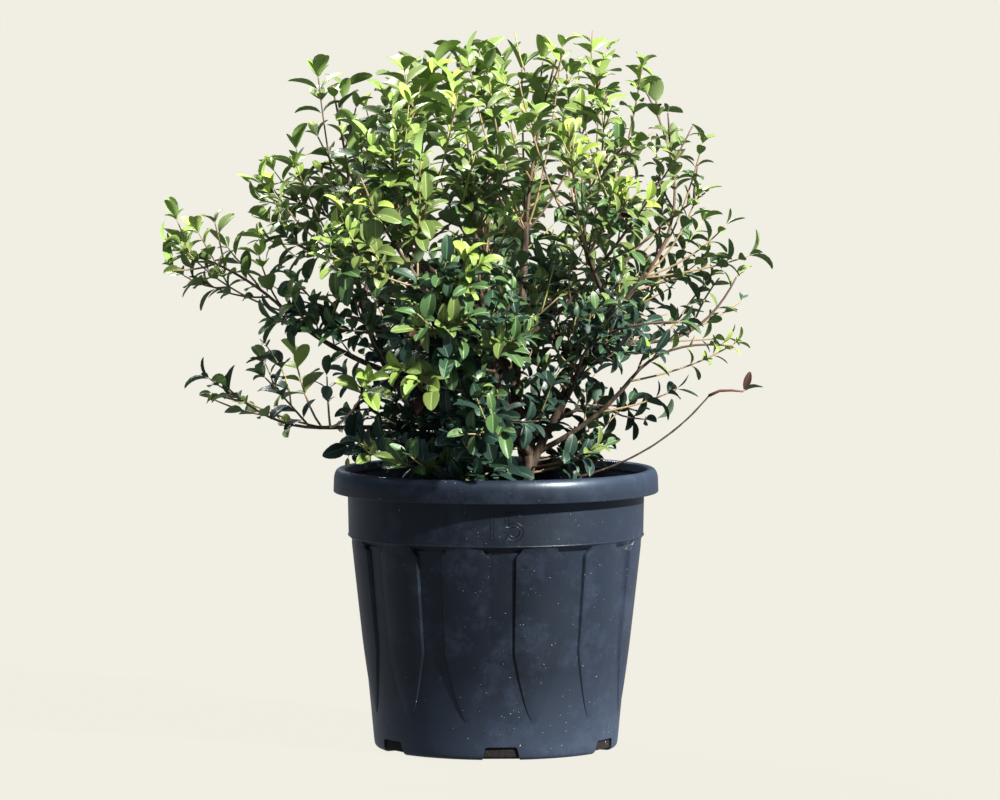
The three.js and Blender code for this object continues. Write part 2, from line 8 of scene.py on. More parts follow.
import bpy
import numpy as np
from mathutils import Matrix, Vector, noise
from mathutils.kdtree import KDTree


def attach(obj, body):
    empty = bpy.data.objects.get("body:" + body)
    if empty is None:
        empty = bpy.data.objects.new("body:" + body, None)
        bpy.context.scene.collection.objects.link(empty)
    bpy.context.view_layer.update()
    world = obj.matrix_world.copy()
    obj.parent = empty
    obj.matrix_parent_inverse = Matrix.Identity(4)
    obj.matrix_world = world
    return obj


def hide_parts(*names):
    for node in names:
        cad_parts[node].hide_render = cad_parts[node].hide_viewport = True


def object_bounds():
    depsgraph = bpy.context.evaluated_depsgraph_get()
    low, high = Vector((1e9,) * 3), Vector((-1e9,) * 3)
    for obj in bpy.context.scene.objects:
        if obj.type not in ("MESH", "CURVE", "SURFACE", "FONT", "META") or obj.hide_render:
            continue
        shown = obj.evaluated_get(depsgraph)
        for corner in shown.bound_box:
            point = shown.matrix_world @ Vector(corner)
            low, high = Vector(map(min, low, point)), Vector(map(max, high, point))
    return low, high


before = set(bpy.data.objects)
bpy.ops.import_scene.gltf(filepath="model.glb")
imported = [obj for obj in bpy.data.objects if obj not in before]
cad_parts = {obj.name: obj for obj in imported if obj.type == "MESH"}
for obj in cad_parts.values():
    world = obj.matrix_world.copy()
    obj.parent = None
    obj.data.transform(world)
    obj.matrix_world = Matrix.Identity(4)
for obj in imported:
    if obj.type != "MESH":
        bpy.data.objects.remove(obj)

CAD_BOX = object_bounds()
MM = 0.001
UP = np.array([0.0, 0.0, 1.0])
UPRIGHT = 1e-3  # a line that leans less than this has no level direction of its own
TUBE_POINT = 0.5  # how far a tube's ends stand out, as a share of its radius
# Degrees between two faces, above which the edge between them looks sharp.
SHARP = dict(pot=32, numeral=60, mix=60, chips=30, limbs=70, leaves=100, twigs=80)

# The photograph: 1000 by 800 pixels, and how its plane through the pot's axis maps to millimetres.
PIXELS_PER_METRE = 1022
AXIS_PIXEL = 496
GROUND_PIXEL = 745

# Camera, in millimetres: a long lens, a little above the crown's top.
CAMERA_PLACE = (4, -6000, 750)
CAMERA_TARGET = (4, 0, 342)
CAMERA_LENS = 220
CAMERA_SENSOR = 36
CAMERA_FAR = 100  # metres

# Pot: a 15 litre nursery container. Its outline is the solid's, with finer edges.
POT_HEIGHT = 275
WALL = 2
FLOOR = 3
FOOT_RADIUS = 119.6
FOOT_ROUND = 5
FOOT_SWELL = 0.3  # how far its rounded edge stands out of the wall's line
WALL_SLOPE = 0.096
COLLAR_BOTTOM = 209
COLLAR_RADIUS = 145
COLLAR_TOP_RADIUS = 146
COLLAR_SLOPE_HEIGHT = 5.5
COLLAR_BEAD = 0.9
COLLAR_CHAMFER = 1
COLLAR_STEP = (0.2, 2)  # out and up from the bead to the collar's plain wall
SHOULDER_HEIGHT = COLLAR_BOTTOM - COLLAR_SLOPE_HEIGHT + WALL
RIM_RADIUS = 160
RIM_DEPTH = 23
RIM_ROUND = 5.5  # width and height of its upper edge
RIM_CROWN = 11
RIM_EDGE = 1.1
RIM_SETBACK = 0.4  # of its upper edge from the solid's
LIP_RADIUS = 148.5
LIP_ROUND = 2
THROAT_DROP = 17
# Its rounded edges: degrees from, degrees to, and points.
FOOT_ARC = (-90, -5, 6)
BEAD_ARC = (-60, 75, 6)
RIM_EDGE_ARC = (-150, 0, 6)
RIM_ARC = (0, 90, 9)
LIP_ARC = (90, 180, 5)

# Pilasters: panels that stand out of the wall, bulge in the middle and narrow to a point below.
PILASTERS = 12
PILASTER_TURN = 17.5
PILASTER_HALF = 10.2
PILASTER_RELIEF = 5.4
PILASTER_BULGE = 0.42  # share of the relief that the bulge takes off at its sides
PILASTER_FADE = 36
PILASTER_SPREAD = 68  # height over which its pointed foot widens
PILASTER_POINT = 0.12  # least share of its width
PILASTER_SOFT = 0.7  # degrees over which its side drops to the wall
PILASTER_CHAMFER = 8  # height of the slanting corners at its top
PILASTER_CHAMFER_SHARE = 0.3  # how much narrower they make it
PILASTER_POWERS = dict(foot=0.6, chamfer=1.3, rise=0.5)
PILASTER_LOWEST = PILASTER_FADE / 4  # the wall's first row
ON_THE_WALL = 1e-6  # a row of the outline this near the wall's line is part of the wall
COLUMNS = [-14, -12.4, -11.2, -10.2, -9.9, -9.7, -9.5, -9.1, -8.5, -7.6, -6.6, -5.6, -4.4, -3, -1.5]
WALL_STEP = 3
WALL_TOP_STEP = 0.9
WALL_TOP = 18  # height under the collar that has the finer rows

# Drainage notches.
NOTCHES = 6
NOTCH_TURN = 32.5
NOTCH_WIDTH = 37
NOTCH_HEIGHT = 13
NOTCH_LEAN = 2.5
NOTCH_CORNER = 3
NOTCH_ARC = (8, 90, 5)
NOTCH_BELOW = -1  # the cutter starts under the foot
NOTCH_REACH = 14
NOTCH_DEPTH = 30

# Capacity numeral on the collar: raised outlines.
NUMERAL_BOTTOM = 217.5
NUMERAL_HEIGHT = 24
NUMERAL_STROKE = 3.6
NUMERAL_RIDGE = 0.7
ONE_PLACE = -3  # x of its middle
FIVE_PLACE = 18
FIVE_WIDTH = 14
FIVE_ARC = (130, -150, 22)
FIVE_OVERLAP = 1  # of its back and its bowl
STROKE_POINTS = dict(one=9, bar=6, back=5)
NUMERAL_SIDES = 6

# Potting mix.
GROUND = 248
MIX_EDGE_DROP = 4
MIX_RINGS = 46
MIX_COLUMNS = 120
MIX_LUMP = 3.2
MIX_LUMP_SIZE = 26
MIX_LUMP_SINK = 0.2
MIX_FRACTAL = (1, 2, 5)  # how fast it gets finer, by what step, and how many times
GAP = 0.3
CHIPS = 900
CHIP_LENGTH = (1.6, 5.5)
CHIP_WIDTH = (0.3, 0.6)  # of its length
CHIP_HEIGHT = (0.5, 1.4)
PERLITE = 260
GRAIN_SIZE = (0.7, 1.9)
GRAIN_SHAPE = np.array([1, 0.9, 0.8])
GRAIN_RISE = 0.6  # over the mix
LUMP_CORNERS = (0.6, 1.1)  # how far each lies out, as a share of the size
LUMP_EDGE = 6  # from the pot's wall
CHIP_COLOURS = {"chip_dark": 0x2A1C13, "chip_red": 0x4F3020, "chip_tan": 0x7A5B3D, "perlite": 0xD9D4C8}

# Trunk and main stems.
TRUNK_LINE = [
    (20, 7, -12),
    (32, 3, 30),
    (19, 0, 104),
    (24, -2, 154),
    (27, 0, 222),
    (30, 2, 268),
]
TRUNK_RADII = (6.4, 3)
TRUNK_BURIED = 12
FLARE = 4.5
FLARE_HEIGHT = 9
STEMS = {
    "stem_left": dict(azimuth=178, reach=138, height=484, leaves=16, sweep=0.95),
    "stem_right": dict(azimuth=-4, reach=148, height=468, leaves=24, sweep=0.5),
    "stem_back": dict(azimuth=96, reach=112, height=484, leaves=34, sweep=0.8),
    "stem_front": dict(azimuth=262, reach=104, height=452, leaves=44, sweep=0.8),
}
STEM_RADII = (4.6, 2.4)
STEM_SIDES = 6
STEM_LATE_RISE = 0.75

# Masses of foliage: where the outermost leaf of each reaches.
CROWNS = {
    "trunk": dict(azimuth=8, reach=66, height=710),
    "stem_left": dict(azimuth=176, reach=166, height=684),
    "stem_right": dict(azimuth=6, reach=144, height=686),
    "stem_back": dict(azimuth=116, reach=92, height=706),
    "stem_front": dict(azimuth=256, reach=130, height=652),
}
ARMS = {
    "left_arm": dict(azimuth=178, reach=338, height=505, length=150, rise=30),
    "low_left_arm": dict(azimuth=187, reach=296, height=370, length=132, rise=24),
    "right_arm": dict(azimuth=2, reach=264, height=484, length=138, rise=38),
    "low_right_arm": dict(azimuth=-10, reach=268, height=408, length=140, rise=18),
    "whip": dict(azimuth=-3, reach=262, height=366, length=56, rise=20),
}
TIERS = {
    "upper": dict(count=4, start=45, reach=200, height=634, length=160, rise=62),
    "middle": dict(count=5, start=22, reach=250, height=566, length=160, rise=42),
    "lower": dict(count=5, start=40, reach=240, height=438, length=155, rise=22),
    "skirt": dict(count=3, start=152, reach=200, height=330, length=140, rise=8),
}
INNER = {
    "inner_left": dict(limb="stem_left", leaves=0.32, azimuth=235, reach=118, height=392),
    "inner_front": dict(limb="stem_front", leaves=0.6, azimuth=290, reach=120, height=500),
    "inner_right": dict(limb="stem_right", leaves=0.35, azimuth=310, reach=125, height=420),
    "inner_back": dict(limb="stem_back", leaves=0.5, azimuth=70, reach=118, height=470),
}

# Boughs, and how the source looks for a clear way for them.
BOUGH_RADII = (2.9, 1.9)
BOUGH_SIDES = 5
BOUGH_SWEEP = (0.62, 0.38)
BOUGH_CLIMB = 0.8
FORK_PLACES = 12
FORK_SPACING = 14
CROWDED_COST = 60
FALL_COST = 3
WHIP_RADII = (1.7, 1.4)
WHIP_START = 0.08
WHIP_SWEEP = (0.64, 0.1)
LIMB_SEGMENTS = 4
BRANCH_COLLAR = 0.35  # how much thicker a limb is at its foot, and how far up that reaches
BRANCH_COLLAR_REACH = 6
BOW_STEP = 5
BOW_TRIES = 16
TIP_STEP = 4
TIP_TRIES = 16

# The bark's relief: which limbs a piece holds, their sides, the space between their rings and its depth.
LIMB_PIECES = {
    "trunk_bark": dict(limbs=slice(0, 1), sides=22, step=2.2, depth=0.75, flare=FLARE),
    "main_stems": dict(limbs=slice(1, 5), sides=16, step=2.6, depth=0.42, flare=0),
    "boughs": dict(limbs=slice(5, None), sides=11, step=3.2, depth=0.26, flare=0),
}
FEWEST_RINGS = 6
RIDGES = 2.2  # how many the noise gives round a limb
RIDGE_LENGTH = 16
RIDGE_DEPTH = 1.3  # of the depth
RIDGE_PHASES = 100
KNOT_SPACING = (24, 34)
KNOT_SQUARE = 5  # of its half length
KNOT_DEPTH = 0.7

# The source's twigs.
TWIG_COUNT = 5
TWIG_FIRST = 0.08
TWIG_LAST = 0.8
TWIG_TURN = 137.5
TWIG_REACH = 96
TWIG_TAPER = 0.36
TWIG_ANGLE = 54
TWIG_SPREAD_TURN = 40
TWIG_SPREAD_ANGLE = 16
TWIG_SPREAD_REACH = 0.3
TWIG_LIFT = 0.15
SMALL_MASS = 80
MASS_STEM_RADII = (1.9, 1.5)
TWIG_SIDES = 4
STEM_SEGMENTS = 2
SOURCE_LEAF = 54
LEAF_TIP_SHARE = 0.64
SEED = 20
CROWN_SEED = 24  # of the twigs that grow to places of their own
MASS_SEEDS = 1000  # a mass's seed is this many times SEED, plus its number

# The finer growth: twigs bend towards a goal between their mass's own direction and the light, and
# shoots fork from their joints in opposite pairs. JOINT is from one pair of leaves to the next.
JOINT = 12
JOINT_SPREAD = (0.85, 1.15)
FEWEST_JOINTS = dict(stem=3, twig=2)
STEM_WOOD = (1.8, 1.0)  # radii
TWIG_WOOD = (1.2, 0.75)
SHOOT_WOOD = (1.0, 0.55)
WHIP_WOOD = (1.2, 0.8)
TWIG_FACETS = 6
SHOOT_FACETS = 5
SHOOT_JOINTS = (2, 6)
SHOOT_VIGOUR = (0.85, 1.05)
TWIG_VIGOUR = (0.9, 1.1)
SHOOT_ANGLE = 40
FORK_SPREAD = dict(angle=9, turn=25)
SHOOT_PULL = 0.26
TWIG_PULL = 0.15
BETWEEN_REACH = 0.8  # of the twigs that grow between the source's own
STEM_FORK_CHANCE = 0.35
TWIG_FORK_CHANCE = 0.45
SWAY = 0.045
# By group of masses: the share of the finer growth that it has, and how much that turns to the light.
GROUPS = {
    "crown": dict(full=0.3, light=0.9),
    "upper": dict(full=0.25, light=0.7),
    "middle": dict(full=0.35, light=0.6),
    "lower": dict(full=0.5, light=0.5),
    "skirt": dict(full=0.9, light=0.6),
    "arms": dict(full=0.15, light=0.3),
    "inner": dict(full=1, light=1.2),
}
LIMB_SHOOTS = {
    "trunk": dict(first=0.1, last=0.96, spacing=17, joints=(3, 7), chance=0.75),
    "stem": dict(first=0.15, last=0.97, spacing=19, joints=(3, 6), chance=0.65),
    "bough": dict(first=0.25, last=0.97, spacing=20, joints=(2, 5), chance=0.5),
}
LIMB_SHOOT_SHIFT = 0.6  # how far a pair may shift, as a share of their spacing
LIMB_SHOOT_TURNS = (90, 30)  # from pair to pair, and how far off that
LIMB_SHOOT_ANGLE = (45, 65)
LIMB_SHOOT_OUT = 40  # weight of the shoot's own side against the way out of the crown
LIMB_SHOOT_GOAL = dict(along=0.5, level=0.5, up=0.8)

# Twigs that the limbs send to places of their own: a dome of upright ones that evens out the crown, a
# ring of low ones over the mix, and some that the photograph shows, by the pixel and the depth of
# their tips. LEAFY is how many of their joints bear leaves.
DOME_FULL_FROM = 60  # nothing is left off further than this out in front or behind
DOME_TWIGS = dict(count=60, turn=137.5, low=400, high=694, share=(0.5, 1), leafy=6)
BASAL_TWIGS = dict(count=22, turn=137.5, reach=(66, 128), height=(282, 330), leafy=6)
FAR_TWIGS = ((96, 262, 480), (86, 258, 500), (103, 256, 450), (92, 262, 430))  # azimuth, reach and height
FAR_LEAFY = 6
SHOWN_TWIGS = {
    "front_light": (406, 352, -192, 4),
    "front_light_side": (370, 368, -186, 3),
    "front_light_low": (424, 364, -190, 3),
    "top_left_end": (318, 72, 0, 4),
    "top_left": (384, 92, 20, 5),
    "top_left_inner": (420, 78, -30, 6),
    "top_left_back": (404, 90, 10, 5),
    "top_left_front": (456, 82, -44, 4),
    "top_middle_left": (468, 54, 20, 5),
    "top_middle": (488, 66, -30, 5),
    "top_middle_right": (522, 64, 40, 4),
    "top": (562, 42, 0, 5),
    "top_right_inner": (600, 74, 20, 6),
    "top_right": (642, 62, -20, 5),
    "right_lime": (736, 338, 0, 5),
    "right_shoulder": (703, 138, 0, 4),
    "right_high": (727, 219, 0, 4),
    "right_tip": (750, 250, 0, 4),
    "right_middle": (684, 262, 20, 6),
    "right_upper_end": (698, 190, 0, 5),
    "low_right": (678, 384, 0, 4),
    "right_lime_end": (728, 334, 20, 3),
    "left_shoulder": (287, 232, 0, 8),
    "left_shoulder_high": (274, 184, -10, 5),
    "left_shoulder_top": (296, 160, 0, 5),
    "left_tip": (180, 240, 0, 6),
    "left_middle": (258, 252, 10, 4),
    "low_left_shoot": (294, 352, 0, 4),
    "low_left_tip": (208, 374, 0, 4),
    "low_left_inner": (326, 372, 0, 4),
    "low_left_hang_inner": (312, 432, -20, 4),
    "hole_high": (552, 338, -30, 7),
    "hole_back": (540, 348, 90, 7),
    "hole": (540, 360, -40, 6),
    "hole_low": (548, 396, -80, 6),
    "rim_left": (352, 446, -60, 6),
    "rim_front_left": (408, 452, -120, 6),
    "rim_front": (456, 460, -146, 6),
    "rim_middle": (490, 450, -130, 6),
    "rim_right": (596, 438, -70, 5),
}
WOOD_RISE = 22  # such a twig likes to leave its limb this far below its tip
FALL_WEIGHT = 2
TWIG_BEND = (0.6, 0.6, 0.28)  # share of the way at which it has turned up
TWIG_TIP_FORKS = 0.4
TWIG_TIP_RISE = 0.5
FEWEST_LEAVES = 4
FEWEST_POINTS = 4
FORKED_LEAFY = 6  # twigs with fewer leafy joints have no forks
LARGE_LEAVED = (
    "front_light", "front_light_side", "front_light_low",
    "rim_left", "rim_front_left", "rim_front", "rim_middle",
)
LARGE_SIZE = 1.2

# Where the photograph shows more sky than leaves: pixel, radius and the share of shoots left off.
OPEN_PLACES = {
    "left_shoulder": (276, 176, 60, 0.65),
    "left_arm": (246, 256, 50, 0.55),
    "left_high": (352, 88, 58, 0.85),
    "left_inner": (410, 122, 36, 0.65),
    "top_middle": (530, 50, 58, 0.95),
    "left_upper": (346, 190, 44, 0.45),
    "right_shoulder": (636, 100, 66, 0.6),
    "right_upper": (626, 184, 66, 0.6),
    "top_right": (592, 76, 54, 0.95),
    "right_middle": (592, 160, 40, 0.8),
    "right": (706, 300, 62, 0.8),
    "right_low": (650, 386, 44, 0.75),
    "right_rim": (650, 424, 52, 0.95),
    "right_rim_inner": (596, 398, 34, 0.5),
    "right_end": (714, 362, 44, 1.5),
    "left_gap": (342, 302, 42, 0.65),
    "low_left_gap": (226, 326, 34, 0.9),
    "low_left": (230, 412, 46, 0.95),
    "left_end": (192, 282, 36, 0.8),
    "left_low": (340, 392, 50, 0.85),
}
# The same, but only in front of the trunk and the stems.
OPEN_FRONT = {
    "front_light": (398, 366, 36, 0.75),
    "trunk_foot": (534, 432, 40, 0.85),
    "trunk": (528, 372, 36, 0.75),
    "right_stem": (590, 392, 40, 0.7),
}
OPEN_FRONT_DEPTH = -15
# Higher up the crown is more open all round.
OPEN_HEIGHTS = (400, 520)
OPEN_SHARE = 0.46
OPEN_LEAVES = 0.56  # the leaves of a shoot that stays are left off with this much less chance

# How far the growth reaches: little beyond its mass's own solid and space, and not far below an arm.
HOME_SLACK = 26
HOME_MARGIN = 9
FILL_REACH = 38
SHOWN_REACH = 70
ARM_DROOP = 25
DOME_MIDDLE = 480  # above this height the crown, but for its arms, is a dome
DOME_RISE = 262
DOME_REACH = 262
DOME_SHIFT = -12  # of its axis
DOME_WAVER = 26  # how far in its outline comes in places
DOME_WAVE = 42  # length of such a wave
DOME_EVEN = 0.25  # the larger this is, the less of the outline stays put
CROWN_HIGH = 708
MIX_CLEARANCE = 10
RIM_CLEARANCE = 4
OUTSIDE_LOW = 290  # outside the rim nothing hangs lower

# Leaves, at their real size.
LEAF_LENGTH = (21, 34)
LEAF_WIDTH = 0.5  # of its length
TOP_HEIGHTS = (560, 680)
TOP_SIZE = 0.2  # how much larger the leaves are at the crown's top
RIGHT_SHRINK = 0.2  # how much smaller they are from RIGHT_PLACE on
RIGHT_PLACE = 120
YOUNG_SIZE = 1.02  # of a shoot's end leaves against the others
LEAF_CLEARANCE = 6.5
LIMB_CLEARANCE = 3.5
LIMB_SHARES = (0.05, 0.97, 40)  # from, to and how many places of a limb that twigs can leave from
STALK_SHARE = 0.1
BLADE_SHARES = (0.18, 0.32, 0.48, 0.65, 0.82, 0.94)
BLADE_FOOT = 0.85  # powers that taper the blade's foot and round its tip
BLADE_TIP = 0.6
BLADE_SHIFT = 0.92  # power that shifts its widest part
BLADE_LEAST = 0.016  # half width
BLADE_MIDDLE = 0.55  # where each half has its middle row
# How grown and young leaves vary: degrees of curl and fold, width against LEAF_WIDTH, and the angle to
# their shoot.
GROWN = dict(curl=(18, 88), fold=(4, 26), width=(0.9, 1.18), angle=(42, 68))
YOUNG = dict(curl=(10, 75), fold=(14, 36), width=(0.76, 0.98), angle=(20, 46))
CURL_START = 0.25  # the share of its length up to which a leaf rises
TWIST = 22
BULGE = (0.02, 0.12)
WAVE = 0.05
WAVE_TURNS = 9
RIB_HALF = 0.015
RIB_SHARE = 0.4  # at most, of the half width
RIB_RISE = 0.004
KEEL = 0.014
KEEL_TAPER = 1.3
LEAF_SHAPES = 40
LEAF_CORNERS = 7  # round each of its rings
CORNER_KINDS = (0, 0, 2, 0, 0, 1, 1)  # blade, underside or rib
LEAF_LIFT = (-0.08, 0.14)
FACE_ALONG = 0.8  # a leaf faces along its shoot and upward
FACE_UP = (0.3, 0.9)
EDGE_ON = 0.96  # a leaf that points this much the way it would face is turned to another side
PAIR_TURN = 20
NEXT_PAIR_SIZE = 0.9
BUD_SIZE = 0.6

# Tints of leaves: blade, underside and rib.
TINTS = {
    "deep": (0x253A32, 0x465F4F, 0x4A6C50),
    "dark": (0x2D4735, 0x506750, 0x587C52),
    "mid": (0x49673D, 0x677F59, 0x7B9A5C),
    "olive": (0x6A7D42, 0x788D58, 0x93A962),
    "fresh": (0x7F9746, 0x84A05C, 0xA3BB69),
    "lime": (0x9AB14C, 0x9CB664, 0xBFD17E),
    "brown": (0x3A2218, 0x54382A, 0x4A2F20),
}
TINT_STEPS = (0.2, 0.5, 0.88, 1.25, 1.72)  # a spray's score, above which it takes the next tint
# Sprays are dealt paler tints higher up and further out, a painted light standing in for the sun on the crown
# and its glow through the top leaves, and darker tints low near the pot, a painted shade.
SHADE_HEIGHT = 460
LIGHT_HEIGHT = 680
LOW_LIGHT = -0.5  # near the pot
OUTER_LIGHT = 0.8
OUTER_REACH = 170
TINT_WEIGHTS = dict(light=0.9, chance=0.75, young=0.84)
BROWN_CHANCE = 0.003
BROWN_SPOTS = {"left": (420, 318), "high_left": (330, 158), "right": (612, 204)}
BROWN_SPOT_SIZE = 9
BROWN_SPOT_CHANCE = 0.5
WHIP_END = (744, 386)
WHIP_STRAIGHT = 10
# How the whip's dried leaf points and faces.
DRIED_LEAF = (np.array([0.35, 0.0, 0.94]), np.array([0.2, -1.0, 0.0]))

# Where the photograph shows sprays of young lime leaves, in pixels.
FRESH_SPOTS = {
    "left_tip": (190, 240),
    "left_inner": (266, 244),
    "low_left_tip": (240, 376),
    "low_left_inner": (338, 436),
    "low_left_shoot": (288, 350),
    "front": (406, 352),
    "front_side": (366, 370),
    "front_low": (424, 364),
    "centre": (480, 234),
    "right_tip": (738, 328),
    "rim": (436, 466),
}
FRESH_SPOT_SIZE = 17
LIME_CHANCE = 0.7
FRONT_SPOTS = ("front", "front_side", "front_low", "centre", "rim")
PALE_SPOTS = ("front", "front_side", "front_low")
FRONT_DEPTH = -100  # only what stands further out in front than this is fresh there
OUTER_DEPTH = 40
WOODS = {"old": 0x6A5546, "tan": 0x98835F, "young": 0xB2AA6A, "red": 0x6B3A2E}
OLD_WOODS = [0, 1, 1]  # what a twig is dealt out of
YOUNG_WOODS = [1, 2, 2]
WHIP_BARK = 3
LEAF_SHINE = dict(blade=0.38, under=0.6, rib=0.45)  # roughness
DRIED_SHINE = 0.75
SHINE_SPREAD = (-0.08, 0.12)
LEAF_SPECULAR = 0.35

# Noise of the materials: features per metre, octaves, roughness and stretch. Ranges: from, to, and
# what they turn into. Places on the pot are in metres.
MIDDLE = (0.3, 0.7)  # of a noise's values
ROUGHNESS = dict(plastic=0.45, mix=0.95, chips=0.9, bark=0.85, twigs=0.6)
PLASTIC_SHINE = (0.27, 0.45)
BARK_SHINE = (0.9, 0.7)
TWIG_SHINE = (0.5, 0.75)
# Bumps: their strength, and their height in millimetres.
FLOW_BUMP = (0.25, 0.8)
MIX_BUMP = (0.9, 2.5)
BARK_BUMP = (0.8, 1.2)
VEIN_BUMP = (0.25, 0.5)
# The dust_and_sheen colour is dust, and is also laid on as painted sheen and bounced light.
PLASTIC = dict(plain=0x151A24, clean=0x0C1018, dust_and_sheen=0x374152, speck=0xB9BEC2)
# Bluish tint on the plastic's reflections: a painted reflection of blue sky.
PAINTED_SKY_TINT = (0.75, 0.9, 1, 1)
SMUDGES = (9, 6, 0.6)
DUST_CLOUDS = (26, 8, 0.7)
DUST_FIELDS = (22, 3)
SPECKS = (620, 1)
FLOW_MARKS = (60, 5, 0.6, (1, 1, 0.12))
# Lighter towards the foot: dust there, and a painted reflection of light bounced up from the bright floor.
FOOT_DUST_AND_BOUNCE = (0.01, 0.085, 0.5, 0)
# Lighter towards the rim's top.
RIM_TOP_LIGHTER = (0.258, 0.273, 0, 0.35)
# Painted sheen: the dusty colour laid on more towards +X, the right side that the key sun lights.
LIT_SIDE_SHEEN = (0.02, 0.14, 0, 0.5)
CLOUD_DUST = (0.5, 0.72, 0, 0.4)
SPECK_FIELDS = (0.42, 0.6, 0.802, 0.77)  # the noise that a speck takes, less where the dust lies
# Dust specks, laid more densely towards the right, the side the key sun lights: that share of them is painted
# light.
LIT_SIDE_SPECKS = (-0.08, 0.12, 0.012, -0.012)
SPECK_EDGE = (0, 0.02, 0, 1)
MIX_FIBRE = (160, 8, 0.7)
MIX_GRAINS = (330, 2)
GRAIN_EDGE = (0.70, 0.73, 0, 1)
MIX_COLOURS = dict(plain=0x241A13, grain=0xB7B0A4)
MIX_BROWNS = {0.3: 0x080504, 0.6: 0x1A120D, 0.8: 0x30231A}
BARK_STREAKS = (240, 6, 0.65, (1, 1, 0.18))
BARK_PATCHES = (40, 3)
BARK_PATCH_EDGE = (0.45, 0.7, 0, 0.5)
BARK_COLOURS = dict(plain=0x5C4B3D, patch=0x554B38)
BARK_BROWNS = {0.3: 0x1E1713, 0.5: 0x44372D, 0.72: 0x7A6654}
WOOD_GRAIN = (500, 3)
LEAF_VEINS = (420, 3)

# The studio: a plain backdrop and floor, light from all round, and two suns.
BACKDROP = 0xF1EEE3
FILL = (0.105, 0.135, 0.185)  # light from the horizon
OVERHEAD = (0.58, 0.66, 0.76)
BOUNCE = (0.29, 0.3, 0.33)  # light from the ground
GROUND_EDGE = (-0.15, 0.1, 0, 1)
SKY_EDGE = (0.25, 0.85, 0, 1)
SUNS = {
    "key": dict(azimuth=322, elevation=34, strength=10, softness=2.5, colour=(1, 0.97, 0.92)),
    "back": dict(azimuth=118, elevation=48, strength=4.2, softness=10, colour=(1, 0.98, 0.94)),
}
FLOOR_PAINT = 0.008  # share of the backdrop's colour that the floor takes from the lights
FLOOR_SIZE = 60


# Curves and frames, as in the source

def unit(v):
    return v / np.linalg.norm(v)


def cylindrical(azimuth, reach, height):
    angle = math.radians(azimuth)
    return np.array([reach * math.cos(angle), reach * math.sin(angle), height])


def turned(v, axis, degrees):
    """v turned about a unit axis."""
    angle = math.radians(degrees)
    along = axis * v.dot(axis)
    return along + (v - along) * math.cos(angle) + np.cross(axis, v) * math.sin(angle)


def leaning(along, outward, degrees):
    """A direction that leaves a limb's at an angle."""
    angle = math.radians(degrees)
    return along * math.cos(angle) + outward * math.sin(angle)


def frame_of(along):
    """Two directions at right angles to a limb's: one level, and one over it."""
    across = np.cross(along, UP)
    if np.linalg.norm(across) < UPRIGHT:
        across = np.array([1.0, 0.0, 0.0])
    across = unit(across)
    return across, np.cross(along, across)


class Curve:
    """A curve through space. point() takes its own parameter, and at() a share of its length."""

    DIVISIONS = 200
    STEP = 1e-4

    def __init__(self, point):
        self.point = point
        self.shares = np.linspace(0, 1, self.DIVISIONS + 1)
        places = np.array([point(t) for t in self.shares])
        steps = np.linalg.norm(np.diff(places, axis=0), axis=1)
        self.lengths = np.concatenate([[0], np.cumsum(steps)])
        self.length = self.lengths[-1]

    def parameter(self, along):
        return float(np.interp(along * self.length, self.lengths, self.shares))

    def at(self, along):
        return self.point(self.parameter(along))

    def tangent(self, t):
        return unit(self.point(min(1, t + self.STEP)) - self.point(max(0, t - self.STEP)))

    def heading(self, along):
        return self.tangent(self.parameter(along))

    def places(self, count):
        """Points spread evenly along it, one more than the count."""
        return np.array([self.at(i / count) for i in range(count + 1)])


def bezier(start, control, end):
    def point(t):
        return start * (1 - t) ** 2 + control * (2 * t * (1 - t)) + end * t ** 2
    return Curve(point)


def spline(points):
    """The centripetal Catmull-Rom curve through the points."""
    first = 2 * points[0] - points[1]
    last = 2 * points[-1] - points[-2]
    line = [first, *points, last]
    gaps = [np.linalg.norm(b - a) ** 0.5 for a, b in zip(line, line[1:])]

    def point(t):
        place = t * (len(points) - 1)
        i = min(int(place), len(points) - 2)
        s = place - i
        p0, p1, p2, p3 = line[i:i + 4]
        g0, g1, g2 = gaps[i:i + 3]
        t1 = ((p1 - p0) / g0 - (p2 - p0) / (g0 + g1) + (p2 - p1) / g1) * g1
        t2 = ((p2 - p1) / g1 - (p3 - p1) / (g1 + g2) + (p3 - p2) / g2) * g1
        bend = 3 * (p2 - p1) - 2 * t1 - t2
        close = 2 * (p1 - p2) + t1 + t2
        return p1 + t1 * s + bend * s ** 2 + close * s ** 3
    return Curve(point)


def taper(radii):
    return lambda share: radii[0] + (radii[1] - radii[0]) * share


def ring_corners(curve, radius_at, sides, segments):
    """The corners that the source gives a limb's solid, ring by ring."""
    across = frame_of(curve.heading(0))[0]
    corners = []
    for i in range(segments + 1):
        along = curve.heading(i / segments)
        across = unit(across - along * across.dot(along))
        over = np.cross(along, across)
        for k in range(sides):
            turn = (k + 0.5) * 2 * math.pi / sides
            aside = across * math.cos(turn) + over * math.sin(turn)
            corners.append(curve.at(i / segments) + aside * radius_at(i / segments))
    return np.array(corners)


# The lay-out, as in the source

def node_corners(name):
    """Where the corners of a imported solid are."""
    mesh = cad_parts[name].data
    corners = np.empty(len(mesh.vertices) * 3, np.float32)
    mesh.vertices.foreach_get("co", corners)
    return np.unique(corners.reshape(-1, 3).round(6), axis=0) / MM


def misfit(corners, solid):
    """How far corners lie from the nearest ones of a solid, on average."""
    apart = np.linalg.norm(corners[:, None] - solid[None], axis=2)
    return apart.min(axis=1).mean()


def sideways(step, attempt):
    """The source tries left and right in turn, each time further out."""
    return step * math.ceil(attempt / 2) * (1 if attempt % 2 else -1)


